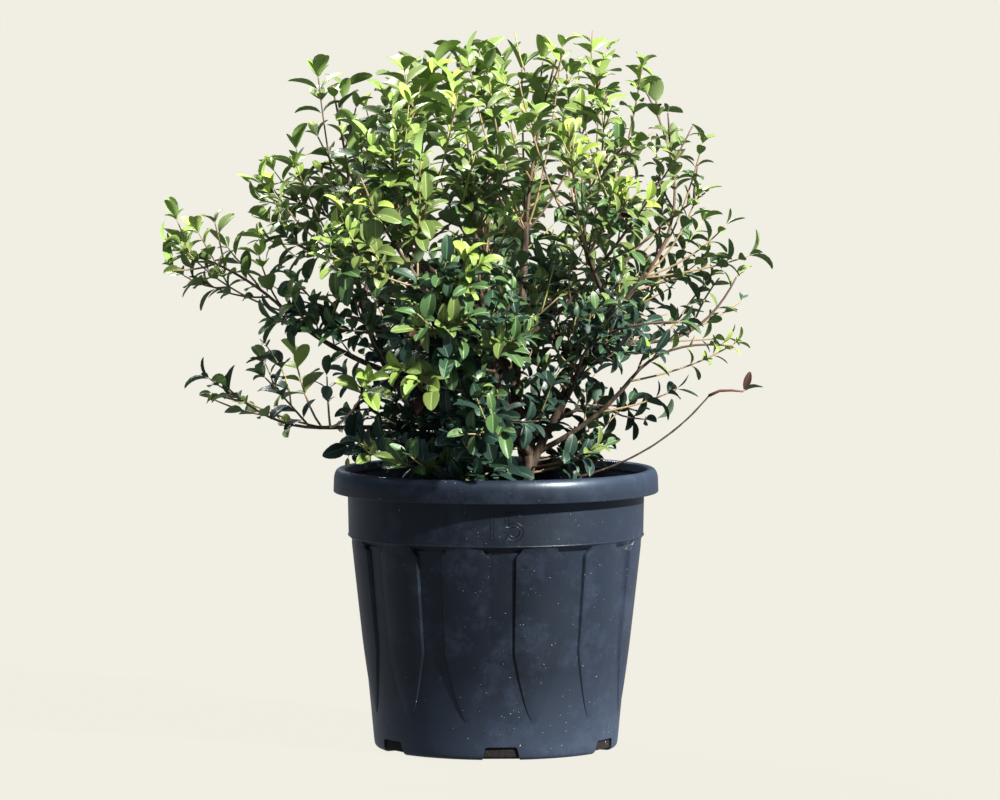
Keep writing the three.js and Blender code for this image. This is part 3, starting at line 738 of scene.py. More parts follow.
def limb_curve(start, end, sweep, bow):
    side = unit(np.array([start[1] - end[1], end[0] - start[0], 0]))
    share = np.array([sweep[0], sweep[0], sweep[1]])
    return bezier(start, start + (end - start) * share + side * bow, end)


def grown_limb(name, radii, sides, start, end, sweep):
    """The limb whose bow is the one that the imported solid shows."""
    solid = node_corners(name)
    curves = [limb_curve(start, end, sweep, sideways(BOW_STEP, i)) for i in range(BOW_TRIES)]
    rings = [ring_corners(c, taper(radii), sides, LIMB_SEGMENTS)[sides:] for c in curves]
    best = min(range(BOW_TRIES), key=lambda i: misfit(rings[i], solid))
    return dict(name=name, curve=curves[best], radii=radii)


def departure(end, limbs, taken):
    """Where a bough leaves the main limbs, as the source chooses it."""
    best = None
    for limb in limbs:
        for i in range(1, FORK_PLACES):
            place = limb["curve"].point(i / FORK_PLACES)
            run = math.hypot(end[0] - place[0], end[1] - place[1])
            rise = end[2] - place[2]
            crowded = any(np.linalg.norm(other - place) < FORK_SPACING for other in taken)
            fall = FALL_COST * max(0, -rise)
            cost = run + abs(rise - run * BOUGH_CLIMB) + fall + (CROWDED_COST if crowded else 0)
            if best is None or cost < best[0]:
                best = (cost, place)
    return best[1]


def outer_sprays():
    for name, arm in ARMS.items():
        yield name, arm
    for tier, rule in TIERS.items():
        for i in range(rule["count"]):
            yield f"{tier}_{i + 1}", dict(rule, azimuth=rule["start"] + 360 / rule["count"] * i)


def mass_at_tip(name, limb, tip):
    lead = limb["curve"].tangent(1)
    return dict(name=name, base=limb["curve"].point(1) + lead * GAP, tip=tip, lead=lead)


def settle(mass):
    """The mass's stem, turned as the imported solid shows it."""
    solid = node_corners("foliage_" + mass["name"])
    best = None
    for attempt in range(TIP_TRIES):
        tip = turned(mass["tip"], UP, sideways(TIP_STEP, attempt))
        whole = np.linalg.norm(tip - mass["base"])
        end = mass["base"] + (tip - mass["base"]) * (1 - LEAF_TIP_SHARE * SOURCE_LEAF / whole)
        reach = np.linalg.norm(end - mass["base"])
        stem = bezier(mass["base"], mass["base"] + mass["lead"] * reach / 2, end)
        rings = ring_corners(stem, taper(MASS_STEM_RADII), TWIG_SIDES, STEM_SEGMENTS)
        error = misfit(rings[TWIG_SIDES:], solid)
        if best is None or error < best[0]:
            best = (error, dict(mass, tip=tip, stem=stem, centre=(mass["base"] + tip) / 2))
    return best[1]


def lay_out():
    """Every limb, and every mass with its stem and the centre of its space."""
    line = [np.array([x, y, GROUND + GAP + z], float) for x, y, z in TRUNK_LINE]
    trunk = dict(name="trunk", curve=spline(line), radii=TRUNK_RADII)
    mains = [trunk]
    for name, stem in STEMS.items():
        start = trunk["curve"].at((TRUNK_BURIED + stem["leaves"]) / trunk["curve"].length)
        end = cylindrical(stem["azimuth"], stem["reach"], stem["height"])
        sweep = (stem["sweep"], 1 - stem["sweep"] * STEM_LATE_RISE)
        mains.append(grown_limb(name, STEM_RADII, STEM_SIDES, start, end, sweep))
    masses = [mass_at_tip(m["name"], m, cylindrical(**CROWNS[m["name"]])) for m in mains]
    limbs = list(mains)
    taken = []
    for name, spray in outer_sprays():
        tip = cylindrical(spray["azimuth"], spray["reach"], spray["height"])
        rise = math.radians(spray["rise"])
        along = cylindrical(spray["azimuth"], math.cos(rise), math.sin(rise))
        base = tip - along * spray["length"]
        whip = name == "whip"
        place = trunk["curve"].at(WHIP_START) if whip else departure(base, mains, taken)
        taken.append(place)
        radii, sweep = (WHIP_RADII, WHIP_SWEEP) if whip else (BOUGH_RADII, BOUGH_SWEEP)
        limb = grown_limb("bough_" + name, radii, BOUGH_SIDES, place, base, sweep)
        if whip:
            limb["radii"] = WHIP_WOOD
        limbs.append(limb)
        masses.append(mass_at_tip(name, limb, tip))
    for name, rule in INNER.items():
        limb = next(m for m in mains if m["name"] == rule["limb"])
        base = limb["curve"].point(rule["leaves"])
        tip = cylindrical(rule["azimuth"], rule["reach"], rule["height"])
        masses.append(dict(name=name, base=base, tip=tip, lead=unit(tip - base)))
    return limbs, [settle(mass) for mass in masses]


# Meshes

class Shape:
    """Corners, faces and each face's material number, gathered part by part."""

    def __init__(self):
        self.corners = []
        self.faces = []
        self.slots = []
        self.count = 0

    def add(self, corners, *faces, slot=0):
        """Adds a part: its corners, and arrays of faces, each of one number of sides."""
        corners = np.asarray(corners, float).reshape(-1, 3)
        self.corners.append(corners)
        for each in faces:
            each = np.asarray(each, int)
            self.faces.append(each + self.count)
            self.slots.append(np.full(len(each), slot))
        self.count += len(corners)

    def mesh(self, name):
        mesh = bpy.data.meshes.new(name)
        corners = np.concatenate(self.corners) * MM
        sizes = np.concatenate([np.full(len(f), f.shape[1]) for f in self.faces])
        loops = np.concatenate([f.ravel() for f in self.faces])
        mesh.vertices.add(len(corners))
        mesh.vertices.foreach_set("co", corners.ravel())
        mesh.loops.add(len(loops))
        mesh.loops.foreach_set("vertex_index", loops)
        mesh.polygons.add(len(sizes))
        mesh.polygons.foreach_set("loop_start", np.concatenate([[0], np.cumsum(sizes)[:-1]]))
        mesh.polygons.foreach_set("material_index", np.concatenate(self.slots))
        mesh.update(calc_edges=True)
        return mesh


def placed(name, data):
    """A new object in the scene."""
    made = bpy.data.objects.new(name, data)
    bpy.context.scene.collection.objects.link(made)
    return made


def add_piece(name, shape, materials, sharp, nodes=()):
    """Puts a shape in the scene as a piece of the object. Edges sharper than the angle stay sharp."""
    mesh = shape.mesh(name) if isinstance(shape, Shape) else shape
    mesh.shade_smooth()
    mesh.set_sharp_from_angle(angle=math.radians(sharp))
    for material in materials:
        mesh.materials.append(material)
    piece = placed(name, mesh)
    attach(piece, "root")
    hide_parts(*nodes)


def bands(rings, sides):
    """The faces between rings of corners, the first of which is corner 1."""
    k = np.arange(sides)
    after = (k + 1) % sides
    starts = [1 + ring * sides for ring in range(rings)]
    pairs = zip(starts, starts[1:])
    return np.concatenate([np.stack([a + k, a + after, b + after, b + k], axis=1) for a, b in pairs])


def fans(rings, sides):
    """The faces from the first corner to the first ring, and from the last ring to the last corner."""
    k = np.arange(sides)
    after = (k + 1) % sides
    end = 1 + (rings - 1) * sides
    foot = np.stack([1 + after, 1 + k, k * 0], axis=1)
    top = np.stack([end + k, end + after, k * 0 + end + sides], axis=1)
    return foot, top


def tube(shape, points, radii, sides, slot=0, relief=None):
    """A closed tube with pointed ends through the points, its corners moved out by relief."""
    points = np.asarray(points, float)
    headings = np.gradient(points, axis=0)
    across = frame_of(unit(headings[0]))[0]
    turns = np.arange(sides) * 2 * math.pi / sides
    corners = [points[:1] - unit(headings[0]) * radii[0] * TUBE_POINT]
    for i, (point, heading) in enumerate(zip(points, headings)):
        along = unit(heading)
        across = unit(across - along * across.dot(along))
        over = np.cross(along, across)
        radius = radii[i] + (relief(i, turns) if relief else 0)
        spokes = np.outer(np.cos(turns), across) + np.outer(np.sin(turns), over)
        corners.append(point + spokes * np.broadcast_to(radius, sides)[:, None])
    corners.append(points[-1:] + unit(headings[-1]) * radii[-1] * TUBE_POINT)
    rings = len(points)
    shape.add(np.concatenate(corners), bands(rings, sides), *fans(rings, sides), slot=slot)


def lathe(radii, heights, turns):
    """A closed surface from rows of radii, heights and turns. The first and last rows are points."""
    turns = np.broadcast_to(turns, (len(heights), np.shape(turns)[-1]))
    columns = turns.shape[1]
    rows = [[0, 0, heights[0]]]
    for radius, height, angles in zip(radii[1:-1], heights[1:-1], np.radians(turns[1:-1])):
        ring = np.broadcast_to(radius, columns)
        level = np.broadcast_to(height, columns)
        rows.extend(np.stack([ring * np.cos(angles), ring * np.sin(angles), level], axis=1))
    rows.append([0, 0, heights[-1]])
    rings = len(heights) - 2
    shape = Shape()
    shape.add(rows, bands(rings, columns), *fans(rings, columns))
    return shape


# Materials

def linear(colour):
    """A 0xRRGGBB colour as Blender's linear values."""
    shares = [((colour >> shift) & 255) / 255 for shift in (16, 8, 0)]
    return tuple(s / 12.92 if s <= 0.04045 else ((s + 0.055) / 1.055) ** 2.4 for s in shares)


def principled(name, colour, roughness, **values):
    """A material with plain values: (material, its node tree, its shader)."""
    material = bpy.data.materials.new(name)
    material.use_nodes = True
    shader = material.node_tree.nodes["Principled BSDF"]
    shader.inputs["Base Color"].default_value = (*colour, 1)
    shader.inputs["Roughness"].default_value = roughness
    for socket, value in values.items():
        shader.inputs[socket.replace("_", " ")].default_value = value
    material.diffuse_color = (*colour, 1)
    return material, material.node_tree, shader


def node(tree, kind, inputs=None, **settings):
    """A shader node. An input is a value, or the output of another node."""
    made = tree.nodes.new(kind)
    for name, value in settings.items():
        setattr(made, name, value)
    for name, value in (inputs or {}).items():
        socket = made.inputs[name]
        if isinstance(value, bpy.types.NodeSocket):
            tree.links.new(value, socket)
        else:
            socket.default_value = value
    return made


def noise_of(tree, scale, detail, roughness=0.5, stretch=None):
    """Noise over the object."""
    place = node(tree, "ShaderNodeTexCoord").outputs["Object"]
    if stretch:
        place = node(tree, "ShaderNodeMapping", {"Vector": place, "Scale": stretch}).outputs[0]
    inputs = {"Vector": place, "Scale": scale, "Detail": detail, "Roughness": roughness}
    return node(tree, "ShaderNodeTexNoise", inputs).outputs["Fac"]


def ranged(tree, value, low, high, to_low, to_high):
    """A value spread from one range to another, and held inside it."""
    inputs = {"Value": value, "From Min": low, "From Max": high, "To Min": to_low, "To Max": to_high}
    return node(tree, "ShaderNodeMapRange", inputs, clamp=True).outputs[0]


def summed(tree, a, b, operation="ADD"):
    return node(tree, "ShaderNodeMath", {0: a, 1: b}, operation=operation).outputs[0]


def ramp(tree, value, stops):
    """Colours along a value, by their places on it."""
    made = node(tree, "ShaderNodeValToRGB", {"Fac": value})
    elements = made.color_ramp.elements
    while len(elements) < len(stops):
        elements.new(1)
    for element, (place, colour) in zip(elements, stops.items()):
        element.position = place
        element.color = (*linear(colour), 1)
    return made.outputs["Color"]


def mixed(tree, share, a, b):
    """Colour a turning to colour b as share goes from 0 to 1."""
    made = node(tree, "ShaderNodeMix", data_type="RGBA")
    for socket, value in (("Factor", share), ("A", a), ("B", b)):
        target = next(s for s in made.inputs if s.name == socket and s.enabled)
        if isinstance(value, bpy.types.NodeSocket):
            tree.links.new(value, target)
        else:
            target.default_value = (*value, 1)
    return next(s for s in made.outputs if s.enabled)


def bumped(tree, shader, value, strength, distance):
    inputs = {"Height": value, "Strength": strength, "Distance": distance * MM}
    tree.links.new(node(tree, "ShaderNodeBump", inputs).outputs[0], shader.inputs["Normal"])


def varied(tree, shader, socket, value):
    """Links a value or a colour that varies over the surface to the shader."""
    tree.links.new(value, shader.inputs[socket])


def pot_plastic():
    """Black satin plastic with pale specks, faint smudges, fine flow marks and a dusting at the foot and in
    clouds. In the same pale colour it is painted lighter towards the right side that the key sun lights and
    at the foot where floor light bounces up, and it is lighter along the rim's top.
    """
    plain = linear(PLASTIC["plain"])
    look = principled("pot_plastic", plain, ROUGHNESS["plastic"], Specular_Tint=PAINTED_SKY_TINT)
    material, tree, shader = look
    place = node(tree, "ShaderNodeTexCoord").outputs["Object"]
    place = node(tree, "ShaderNodeSeparateXYZ", {"Vector": place}).outputs
    level = summed(tree, ranged(tree, place["Z"], *FOOT_DUST_AND_BOUNCE), ranged(tree, place["Z"], *RIM_TOP_LIGHTER))
    dust_and_sheen_share = summed(tree, level, ranged(tree, noise_of(tree, *DUST_CLOUDS), *CLOUD_DUST))
    # Painted sheen added here: the plastic is made lighter towards the right side that the key sun lights.
    dust_and_sheen_share = ranged(tree, summed(tree, dust_and_sheen_share, ranged(tree, place["X"], *LIT_SIDE_SHEEN)), 0, 1, 0, 1)
    fields = ranged(tree, noise_of(tree, *DUST_FIELDS), *SPECK_FIELDS)
    fields = summed(tree, fields, ranged(tree, place["X"], *LIT_SIDE_SPECKS))
    specks = summed(tree, noise_of(tree, *SPECKS), fields, "SUBTRACT")
    base = mixed(tree, dust_and_sheen_share, linear(PLASTIC["clean"]), linear(PLASTIC["dust_and_sheen"]))
    specked = mixed(tree, ranged(tree, specks, *SPECK_EDGE), base, linear(PLASTIC["speck"]))
    varied(tree, shader, "Base Color", specked)
    varied(tree, shader, "Roughness", ranged(tree, noise_of(tree, *SMUDGES), *MIDDLE, *PLASTIC_SHINE))
    bumped(tree, shader, noise_of(tree, *FLOW_MARKS), *FLOW_BUMP)
    return material


def mix_material():
    """Dark damp fibre with pale grains."""
    material, tree, shader = principled("potting_mix", linear(MIX_COLOURS["plain"]), ROUGHNESS["mix"])
    fibre = noise_of(tree, *MIX_FIBRE)
    grains = ranged(tree, noise_of(tree, *MIX_GRAINS), *GRAIN_EDGE)
    brown = ramp(tree, fibre, MIX_BROWNS)
    varied(tree, shader, "Base Color", mixed(tree, grains, brown, linear(MIX_COLOURS["grain"])))
    bumped(tree, shader, fibre, *MIX_BUMP)
    return material


def bark_material():
    """Grey-brown bark with paler streaks along the wood and dark pores."""
    material, tree, shader = principled("bark", linear(BARK_COLOURS["plain"]), ROUGHNESS["bark"])
    streak = noise_of(tree, *BARK_STREAKS)
    patch = ranged(tree, noise_of(tree, *BARK_PATCHES), *BARK_PATCH_EDGE)
    wood = ramp(tree, streak, BARK_BROWNS)
    varied(tree, shader, "Base Color", mixed(tree, patch, wood, linear(BARK_COLOURS["patch"])))
    varied(tree, shader, "Roughness", ranged(tree, streak, *MIDDLE, *BARK_SHINE))
    bumped(tree, shader, streak, *BARK_BUMP)
    return material


def wood_materials():
    """Young bark, in one plain colour for each age."""
    made = []
    for name, colour in WOODS.items():
        material, tree, shader = principled("twig_" + name, linear(colour), ROUGHNESS["twigs"])
        grain = noise_of(tree, *WOOD_GRAIN)
        varied(tree, shader, "Roughness", ranged(tree, grain, *MIDDLE, *TWIG_SHINE))
        made.append(material)
    return made


def leaf_materials():
    """For each tint a glossy blade, a dull underside and a pale rib."""
    made = []
    for name, colours in TINTS.items():
        shines = dict(LEAF_SHINE, blade=DRIED_SHINE) if name == "brown" else LEAF_SHINE
        for (side, shine), colour in zip(shines.items(), colours):
            look = principled(f"leaf_{name}_{side}", linear(colour), shine, Specular_IOR_Level=LEAF_SPECULAR)
            material, tree, shader = look
            made.append(material)
            if side == "blade":
                veins = noise_of(tree, *LEAF_VEINS)
                least, most = (shine + spread for spread in SHINE_SPREAD)
                varied(tree, shader, "Roughness", ranged(tree, veins, *MIDDLE, least, most))
                bumped(tree, shader, veins, *VEIN_BUMP)
    return made


# Pot

def wall_radius(height):
    return FOOT_RADIUS + WALL_SLOPE * height


def inside_radius(height):
    if height <= SHOULDER_HEIGHT:
        return wall_radius(height) - WALL
    share = (height - SHOULDER_HEIGHT) / (POT_HEIGHT - THROAT_DROP - SHOULDER_HEIGHT)
    shoulder = wall_radius(SHOULDER_HEIGHT) - WALL
    return shoulder + (COLLAR_TOP_RADIUS - WALL - shoulder) * share


def arc(radius, height, size, start, end, points):
    """A round edge in a lathe's outline, as (radius, height)."""
    turns = np.radians(np.linspace(start, end, points))
    return [(radius + size * math.cos(t), height + size * math.sin(t)) for t in turns]


def pot_outline():
    """The pot's outline: out along the underside, up the outside and down the inside."""
    slope_foot = COLLAR_BOTTOM - COLLAR_SLOPE_HEIGHT
    fine = slope_foot - WALL_TOP
    rim_bottom = POT_HEIGHT - RIM_DEPTH
    hollow_top = POT_HEIGHT - RIM_ROUND - WALL
    bead = COLLAR_BOTTOM + COLLAR_BEAD
    step_out, step_up = COLLAR_STEP
    lip = POT_HEIGHT - LIP_ROUND - RIM_SETBACK
    rows = [(0, 0), (FOOT_RADIUS / 2, 0)]
    rows += arc(FOOT_RADIUS - FOOT_ROUND + FOOT_SWELL, FOOT_ROUND, FOOT_ROUND, *FOOT_ARC)
    rows += [(wall_radius(z), z) for z in np.arange(PILASTER_LOWEST, fine, WALL_STEP)]
    rows += [(wall_radius(z), z) for z in np.arange(fine, slope_foot, WALL_TOP_STEP)]
    rows += [(wall_radius(slope_foot), slope_foot)]
    rows += [(COLLAR_RADIUS - COLLAR_CHAMFER, COLLAR_BOTTOM - COLLAR_CHAMFER)]
    rows += arc(COLLAR_RADIUS, bead, COLLAR_BEAD, *BEAD_ARC)
    rows += [(COLLAR_RADIUS + step_out, bead + step_up), (COLLAR_TOP_RADIUS, rim_bottom)]
    rows += [(COLLAR_TOP_RADIUS, hollow_top), (RIM_RADIUS - WALL, hollow_top)]
    rows += arc(RIM_RADIUS - RIM_EDGE, rim_bottom + RIM_EDGE, RIM_EDGE, *RIM_EDGE_ARC)
    rows += [(RIM_RADIUS - RIM_SETBACK - RIM_ROUND * (1 - out), POT_HEIGHT - RIM_CROWN * (1 - up))
             for out, up in arc(0, 0, 1, *RIM_ARC)]
    rows += arc(LIP_RADIUS + LIP_ROUND, lip, LIP_ROUND, *LIP_ARC)
    rows += [(inside_radius(z), z) for z in (POT_HEIGHT - THROAT_DROP, GROUND, SHOULDER_HEIGHT, FLOOR)]
    rows += [(FOOT_RADIUS / 2, FLOOR), (0, FLOOR)]
    return rows


def pilaster_width(height):
    """A pilaster's width at a height, as a share of its full width."""
    if height < PILASTER_FADE:
        return np.interp(height, (0, PILASTER_FADE), (1, PILASTER_POINT))
    foot = min(1, (height - PILASTER_FADE) / PILASTER_SPREAD) ** PILASTER_POWERS["foot"]
    chamfer_foot = COLLAR_BOTTOM - COLLAR_SLOPE_HEIGHT / 2 - PILASTER_CHAMFER
    chamfer = min(1, max(0, height - chamfer_foot) / PILASTER_CHAMFER) ** PILASTER_POWERS["chamfer"]
    return max(PILASTER_POINT, foot) * (1 - PILASTER_CHAMFER_SHARE * chamfer)


def pilaster_relief(share, height):
    """How far a pilaster stands out of the wall, at a share of the way from its middle to its side."""
    rise = (height - PILASTER_FADE) / (COLLAR_BOTTOM - PILASTER_FADE)
    crown = PILASTER_RELIEF * max(0, rise) ** PILASTER_POWERS["rise"]
    side = np.clip((1 - share) * PILASTER_HALF / PILASTER_SOFT, 0, 1)
    return crown * (1 - PILASTER_BULGE * share ** 2) * side * side * (3 - 2 * side)


def pot_shape():
    """The pot's shell. Its columns follow the sides of the pilasters."""
    spacing = 360 / PILASTERS
    half = COLUMNS + [0] + [-turn for turn in reversed(COLUMNS)]
    aside = np.array(half * PILASTERS)
    centres = np.repeat(PILASTER_TURN + spacing * np.arange(PILASTERS), len(half))
    between = spacing / 2 - PILASTER_HALF
    radii = []
    heights = []
    turns = []
    for radius, height in pot_outline():
        outside = height < COLLAR_BOTTOM and radius >= wall_radius(height) - ON_THE_WALL
        if outside and height > PILASTER_FADE:
            relief = pilaster_relief(np.abs(aside) / PILASTER_HALF, height)
            radius = np.maximum(radius, wall_radius(height) + relief)
        radii.append(radius)
        heights.append(height)
        width = PILASTER_HALF * (pilaster_width(height) if outside else 1)
        beyond = (np.abs(aside) - PILASTER_HALF) / between
        reach = np.where(beyond < 0, width * (1 + beyond * between / PILASTER_HALF),
                         width + (spacing / 2 - width) * beyond)
        turns.append(centres + np.sign(aside) * reach)
    return lathe(radii, heights, turns)


def notch_cutters():
    """Six prisms with rounded top corners that run out through the foot of the wall."""
    half = NOTCH_WIDTH / 2
    round_middle = half - NOTCH_LEAN - NOTCH_CORNER
    rounding = arc(round_middle, NOTCH_HEIGHT - NOTCH_CORNER, NOTCH_CORNER, *NOTCH_ARC)
    right = [(half, NOTCH_BELOW)] + rounding
    outline = right + [(-x, z) for x, z in reversed(right)]
    count = len(outline)
    k = np.arange(count)
    after = (k + 1) % count
    sides = np.stack([k, after, after + count, k + count], axis=1)
    shape = Shape()
    for i in range(NOTCHES):
        turn = NOTCH_TURN + 360 / NOTCHES * i
        out = cylindrical(turn, 1, 0)
        along = cylindrical(turn + 90, 1, 0)
        corners = [out * (FOOT_RADIUS - NOTCH_REACH + depth) + along * x + UP * z
                   for depth in (0, NOTCH_DEPTH) for x, z in outline]
        shape.add(corners, sides, k[None, ::-1], k[None] + count)
    return shape


def without(mesh, cutter):
    """A mesh with the cutter's shape cut out of it."""
    body = placed("body", mesh)
    tool = placed("tool", cutter)
    cut = body.modifiers.new("cut", "BOOLEAN")
    cut.operation = "DIFFERENCE"
    cut.solver = "MANIFOLD"
    cut.object = tool
    depsgraph = bpy.context.evaluated_depsgraph_get()
    result = bpy.data.meshes.new_from_object(body.evaluated_get(depsgraph))
    for each in (body, tool):
        bpy.data.objects.remove(each)
    return result


def offset_outline(line, width):
    """The closed outline of a stroke that follows a line on the plane."""
    line = np.asarray(line, float)
    heading = np.gradient(line, axis=0)
    heading /= np.linalg.norm(heading, axis=1)[:, None]
    aside = np.stack([-heading[:, 1], heading[:, 0]], axis=1) * width / 2
    return np.concatenate([line + aside, (line - aside)[::-1], (line + aside)[:1]])


def numeral_lines():
    """The outlines of the figures, as (x, height) on the collar."""
    top = NUMERAL_BOTTOM + NUMERAL_HEIGHT
    one = [(ONE_PLACE, z) for z in np.linspace(NUMERAL_BOTTOM, top, STROKE_POINTS["one"])]
    bowl = FIVE_WIDTH / 2
    left = FIVE_PLACE - bowl
    bowl_top = NUMERAL_BOTTOM + FIVE_WIDTH - FIVE_OVERLAP
    bar = [(x, top) for x in np.linspace(left + FIVE_WIDTH, left, STROKE_POINTS["bar"])]
    back = [(left, z) for z in np.linspace(top, bowl_top, STROKE_POINTS["back"])[1:]]
    five = bar + back + arc(FIVE_PLACE, NUMERAL_BOTTOM + bowl, bowl, *FIVE_ARC)
    return [offset_outline(line, NUMERAL_STROKE) for line in (one, five)]


def numeral_shape():
    shape = Shape()
    for line in numeral_lines():
        turns = np.arcsin(line[:, 0] / COLLAR_RADIUS)
        height = line[:, 1]
        share = (height - COLLAR_BOTTOM) / (POT_HEIGHT - COLLAR_BOTTOM)
        radius = COLLAR_RADIUS + (COLLAR_TOP_RADIUS - COLLAR_RADIUS) * share
        points = np.stack([radius * np.sin(turns), -radius * np.cos(turns), height], axis=1)
        tube(shape, points, np.full(len(points), NUMERAL_RIDGE), NUMERAL_SIDES)
    return shape


def make_pot(plastic):
    cut = without(pot_shape().mesh("pot_shell"), notch_cutters().mesh("notches"))
    cut.materials.clear()
    add_piece("nursery_pot", cut, [plastic], SHARP["pot"], ["pot"])
    add_piece("capacity_numeral", numeral_shape(), [plastic], SHARP["numeral"])


# Potting mix

def mix_top(x, y):
    """Height of the mix's lumpy surface."""
    reach = math.hypot(x, y) / LIP_RADIUS
    slump = MIX_EDGE_DROP * max(0, 2 * reach - 1)
    rough = noise.fractal(Vector((x, y, 0)) / MIX_LUMP_SIZE, *MIX_FRACTAL)
    return GROUND - slump + MIX_LUMP * (rough - MIX_LUMP_SINK)


def mix_shape():
    turns = np.arange(MIX_COLUMNS) * 360 / MIX_COLUMNS
    angles = np.radians(turns)
    edge = inside_radius(GROUND - MIX_EDGE_DROP) - GAP
    radii = [0, inside_radius(FLOOR) - GAP, inside_radius(SHOULDER_HEIGHT) - GAP]
    heights = [FLOOR + GAP, FLOOR + GAP, SHOULDER_HEIGHT]
    for ring in range(MIX_RINGS, 0, -1):
        radius = edge * ring / MIX_RINGS
        radii.append(radius)
        heights.append(np.array([mix_top(radius * math.cos(a), radius * math.sin(a)) for a in angles]))
    return lathe([*radii, 0], [*heights, mix_top(0, 0)], turns)


def lump(shape, place, size, rng, slot):
    """A rough chip or grain: a box with its corners pulled about."""
    along = unit(np.array([rng.gauss(0, 1) for _ in range(3)]))
    axes = np.array([along, *frame_of(along)])
    corners = []
    for signs in product((-1, 1), repeat=3):
        pull = np.array([rng.uniform(*LUMP_CORNERS) for _ in range(3)])
        corners.append(place + (signs * pull * size) @ axes)
    faces = [(0, 1, 3, 2), (4, 6, 7, 5), (0, 4, 5, 1), (2, 3, 7, 6), (0, 2, 6, 4), (1, 5, 7, 3)]
    shape.add(corners, faces, slot=slot)


def scattered(rng, count, edge):
    """Places spread evenly over the mix."""
    for _ in range(count):
        reach = edge * math.sqrt(rng.random())
        turn = rng.random() * 2 * math.pi
        x, y = reach * math.cos(turn), reach * math.sin(turn)
        yield np.array([x, y, mix_top(x, y)])


def make_mix():
    mix = [mix_material()]
    add_piece("mix_surface", mix_shape(), mix, SHARP["mix"], ["potting_mix"])
    rng = Random(SEED)
    edge = inside_radius(GROUND) - LUMP_EDGE
    shape = Shape()
    grain_slot = len(CHIP_COLOURS) - 1
    for place in scattered(rng, CHIPS, edge):
        length = rng.uniform(*CHIP_LENGTH)
        size = (length, length * rng.uniform(*CHIP_WIDTH), rng.uniform(*CHIP_HEIGHT))
        lump(shape, place, size, rng, rng.randrange(grain_slot))
    for place in scattered(rng, PERLITE, edge):
        size = rng.uniform(*GRAIN_SIZE) * GRAIN_SHAPE
        lump(shape, place + UP * GRAIN_RISE, size, rng, grain_slot)
    dull = ROUGHNESS["chips"]
    chips = [principled(name, linear(colour), dull)[0] for name, colour in CHIP_COLOURS.items()]
    add_piece("chips_and_perlite", shape, chips, SHARP["chips"])


# Trunk, stems and boughs

def knobbly(rows, depth, rng):
    """Relief of bark: low ridges along the limb that wander and break, and a swelling at each joint."""
    phase = rng.uniform(0, RIDGE_PHASES)
    spacing = rng.uniform(*KNOT_SPACING)

    def relief(row, turns):
        height = rows[row]
        along = height / RIDGE_LENGTH + phase
        round_limb = zip(np.cos(turns) * RIDGES, np.sin(turns) * RIDGES)
        ridges = np.array([noise.noise(Vector((x, y, along))) for x, y in round_limb])
        knot = math.exp(-((height % spacing) - spacing / 2) ** 2 / KNOT_SQUARE)
        return depth * (ridges * RIDGE_DEPTH + knot * KNOT_DEPTH)
    return relief


def limb_shape(shape, limb, sides, step, depth, flare, rng):
    """A limb with relief. Its foot is sunk in its parent, with a collar, and its tip meets its mass."""
    curve = limb["curve"]
    count = max(FEWEST_RINGS, int(curve.length / step))
    points = curve.places(count - 1)
    rows = np.linspace(0, 1, count) * curve.length
    radii = taper(limb["radii"])(np.linspace(0, 1, count))
    keep = np.full(count, True)
    if flare:
        radii = radii + flare * np.exp(-np.maximum(0, rows - TRUNK_BURIED) / FLARE_HEIGHT)
        keep = points[:, 2] > GROUND - TRUNK_BURIED / 2
    else:
        radii = radii * (1 + BRANCH_COLLAR * np.exp(-rows / BRANCH_COLLAR_REACH))
    tube(shape, points[keep], radii[keep], sides, relief=knobbly(rows[keep], depth, rng))


def make_limbs(limbs):
    bark = bark_material()
    for name, look in LIMB_PIECES.items():
        rng = Random(SEED + len(name))
        shape = Shape()
        members = limbs[look["limbs"]]
        for limb in members:
            limb_shape(shape, limb, look["sides"], look["step"], look["depth"], look["flare"], rng)
        add_piece(name, shape, [bark], SHARP["limbs"], [limb["name"] for limb in members])


# Leaves: each is a closed mesh of rings of seven corners: the blade's left half, its rib and its
# right half above, and a keel below

def leaf_form(rng, young):
    """One leaf of unit length, growing along x with its upper face up: its corners."""
    kind = YOUNG if young else GROWN
    curl = math.radians(rng.uniform(*kind["curl"]))
    fold = math.radians(rng.uniform(*kind["fold"]))
    width = LEAF_WIDTH / 2 * rng.uniform(*kind["width"])
    twist = math.radians(rng.uniform(-TWIST, TWIST))
    bulge = 0 if young else rng.uniform(*BULGE)
    wave = rng.uniform(-WAVE, WAVE)
    corners = [(0, 0, 0)]
    x = z = last = 0
    for share in (STALK_SHARE, *BLADE_SHARES, 1):
        slope = curl * (CURL_START - (share + last) / 2)
        x += (share - last) * math.cos(slope)
        z += (share - last) * math.sin(slope)
        last = share
        if share == 1:
            corners.append((x, 0, z))
            break
        part = ((share - STALK_SHARE) / (1 - STALK_SHARE)) ** BLADE_SHIFT
        half = max(BLADE_LEAST, width * math.sin(math.pi * part) ** (BLADE_FOOT if part < 0.5 else BLADE_TIP))
        rib = min(RIB_HALF, half * RIB_SHARE)
        lift = wave * math.sin(share * WAVE_TURNS)
        level, steep = half * math.cos(fold), half * math.sin(fold)
        left, right = (
            [(side * level, steep + half * lift * side),
             (side * level * BLADE_MIDDLE, steep * BLADE_MIDDLE + half * bulge),
             (side * rib, RIB_RISE)] for side in (-1, 1)
        )
        roll = twist * share
        for aside, above in left + right[::-1] + [(0, -KEEL * (KEEL_TAPER - share))]:
            across = aside * math.cos(roll) - above * math.sin(roll)
            over = aside * math.sin(roll) + above * math.cos(roll)
            corners.append((x - over * math.sin(slope), across, z + over * math.cos(slope)))
    return np.array(corners)


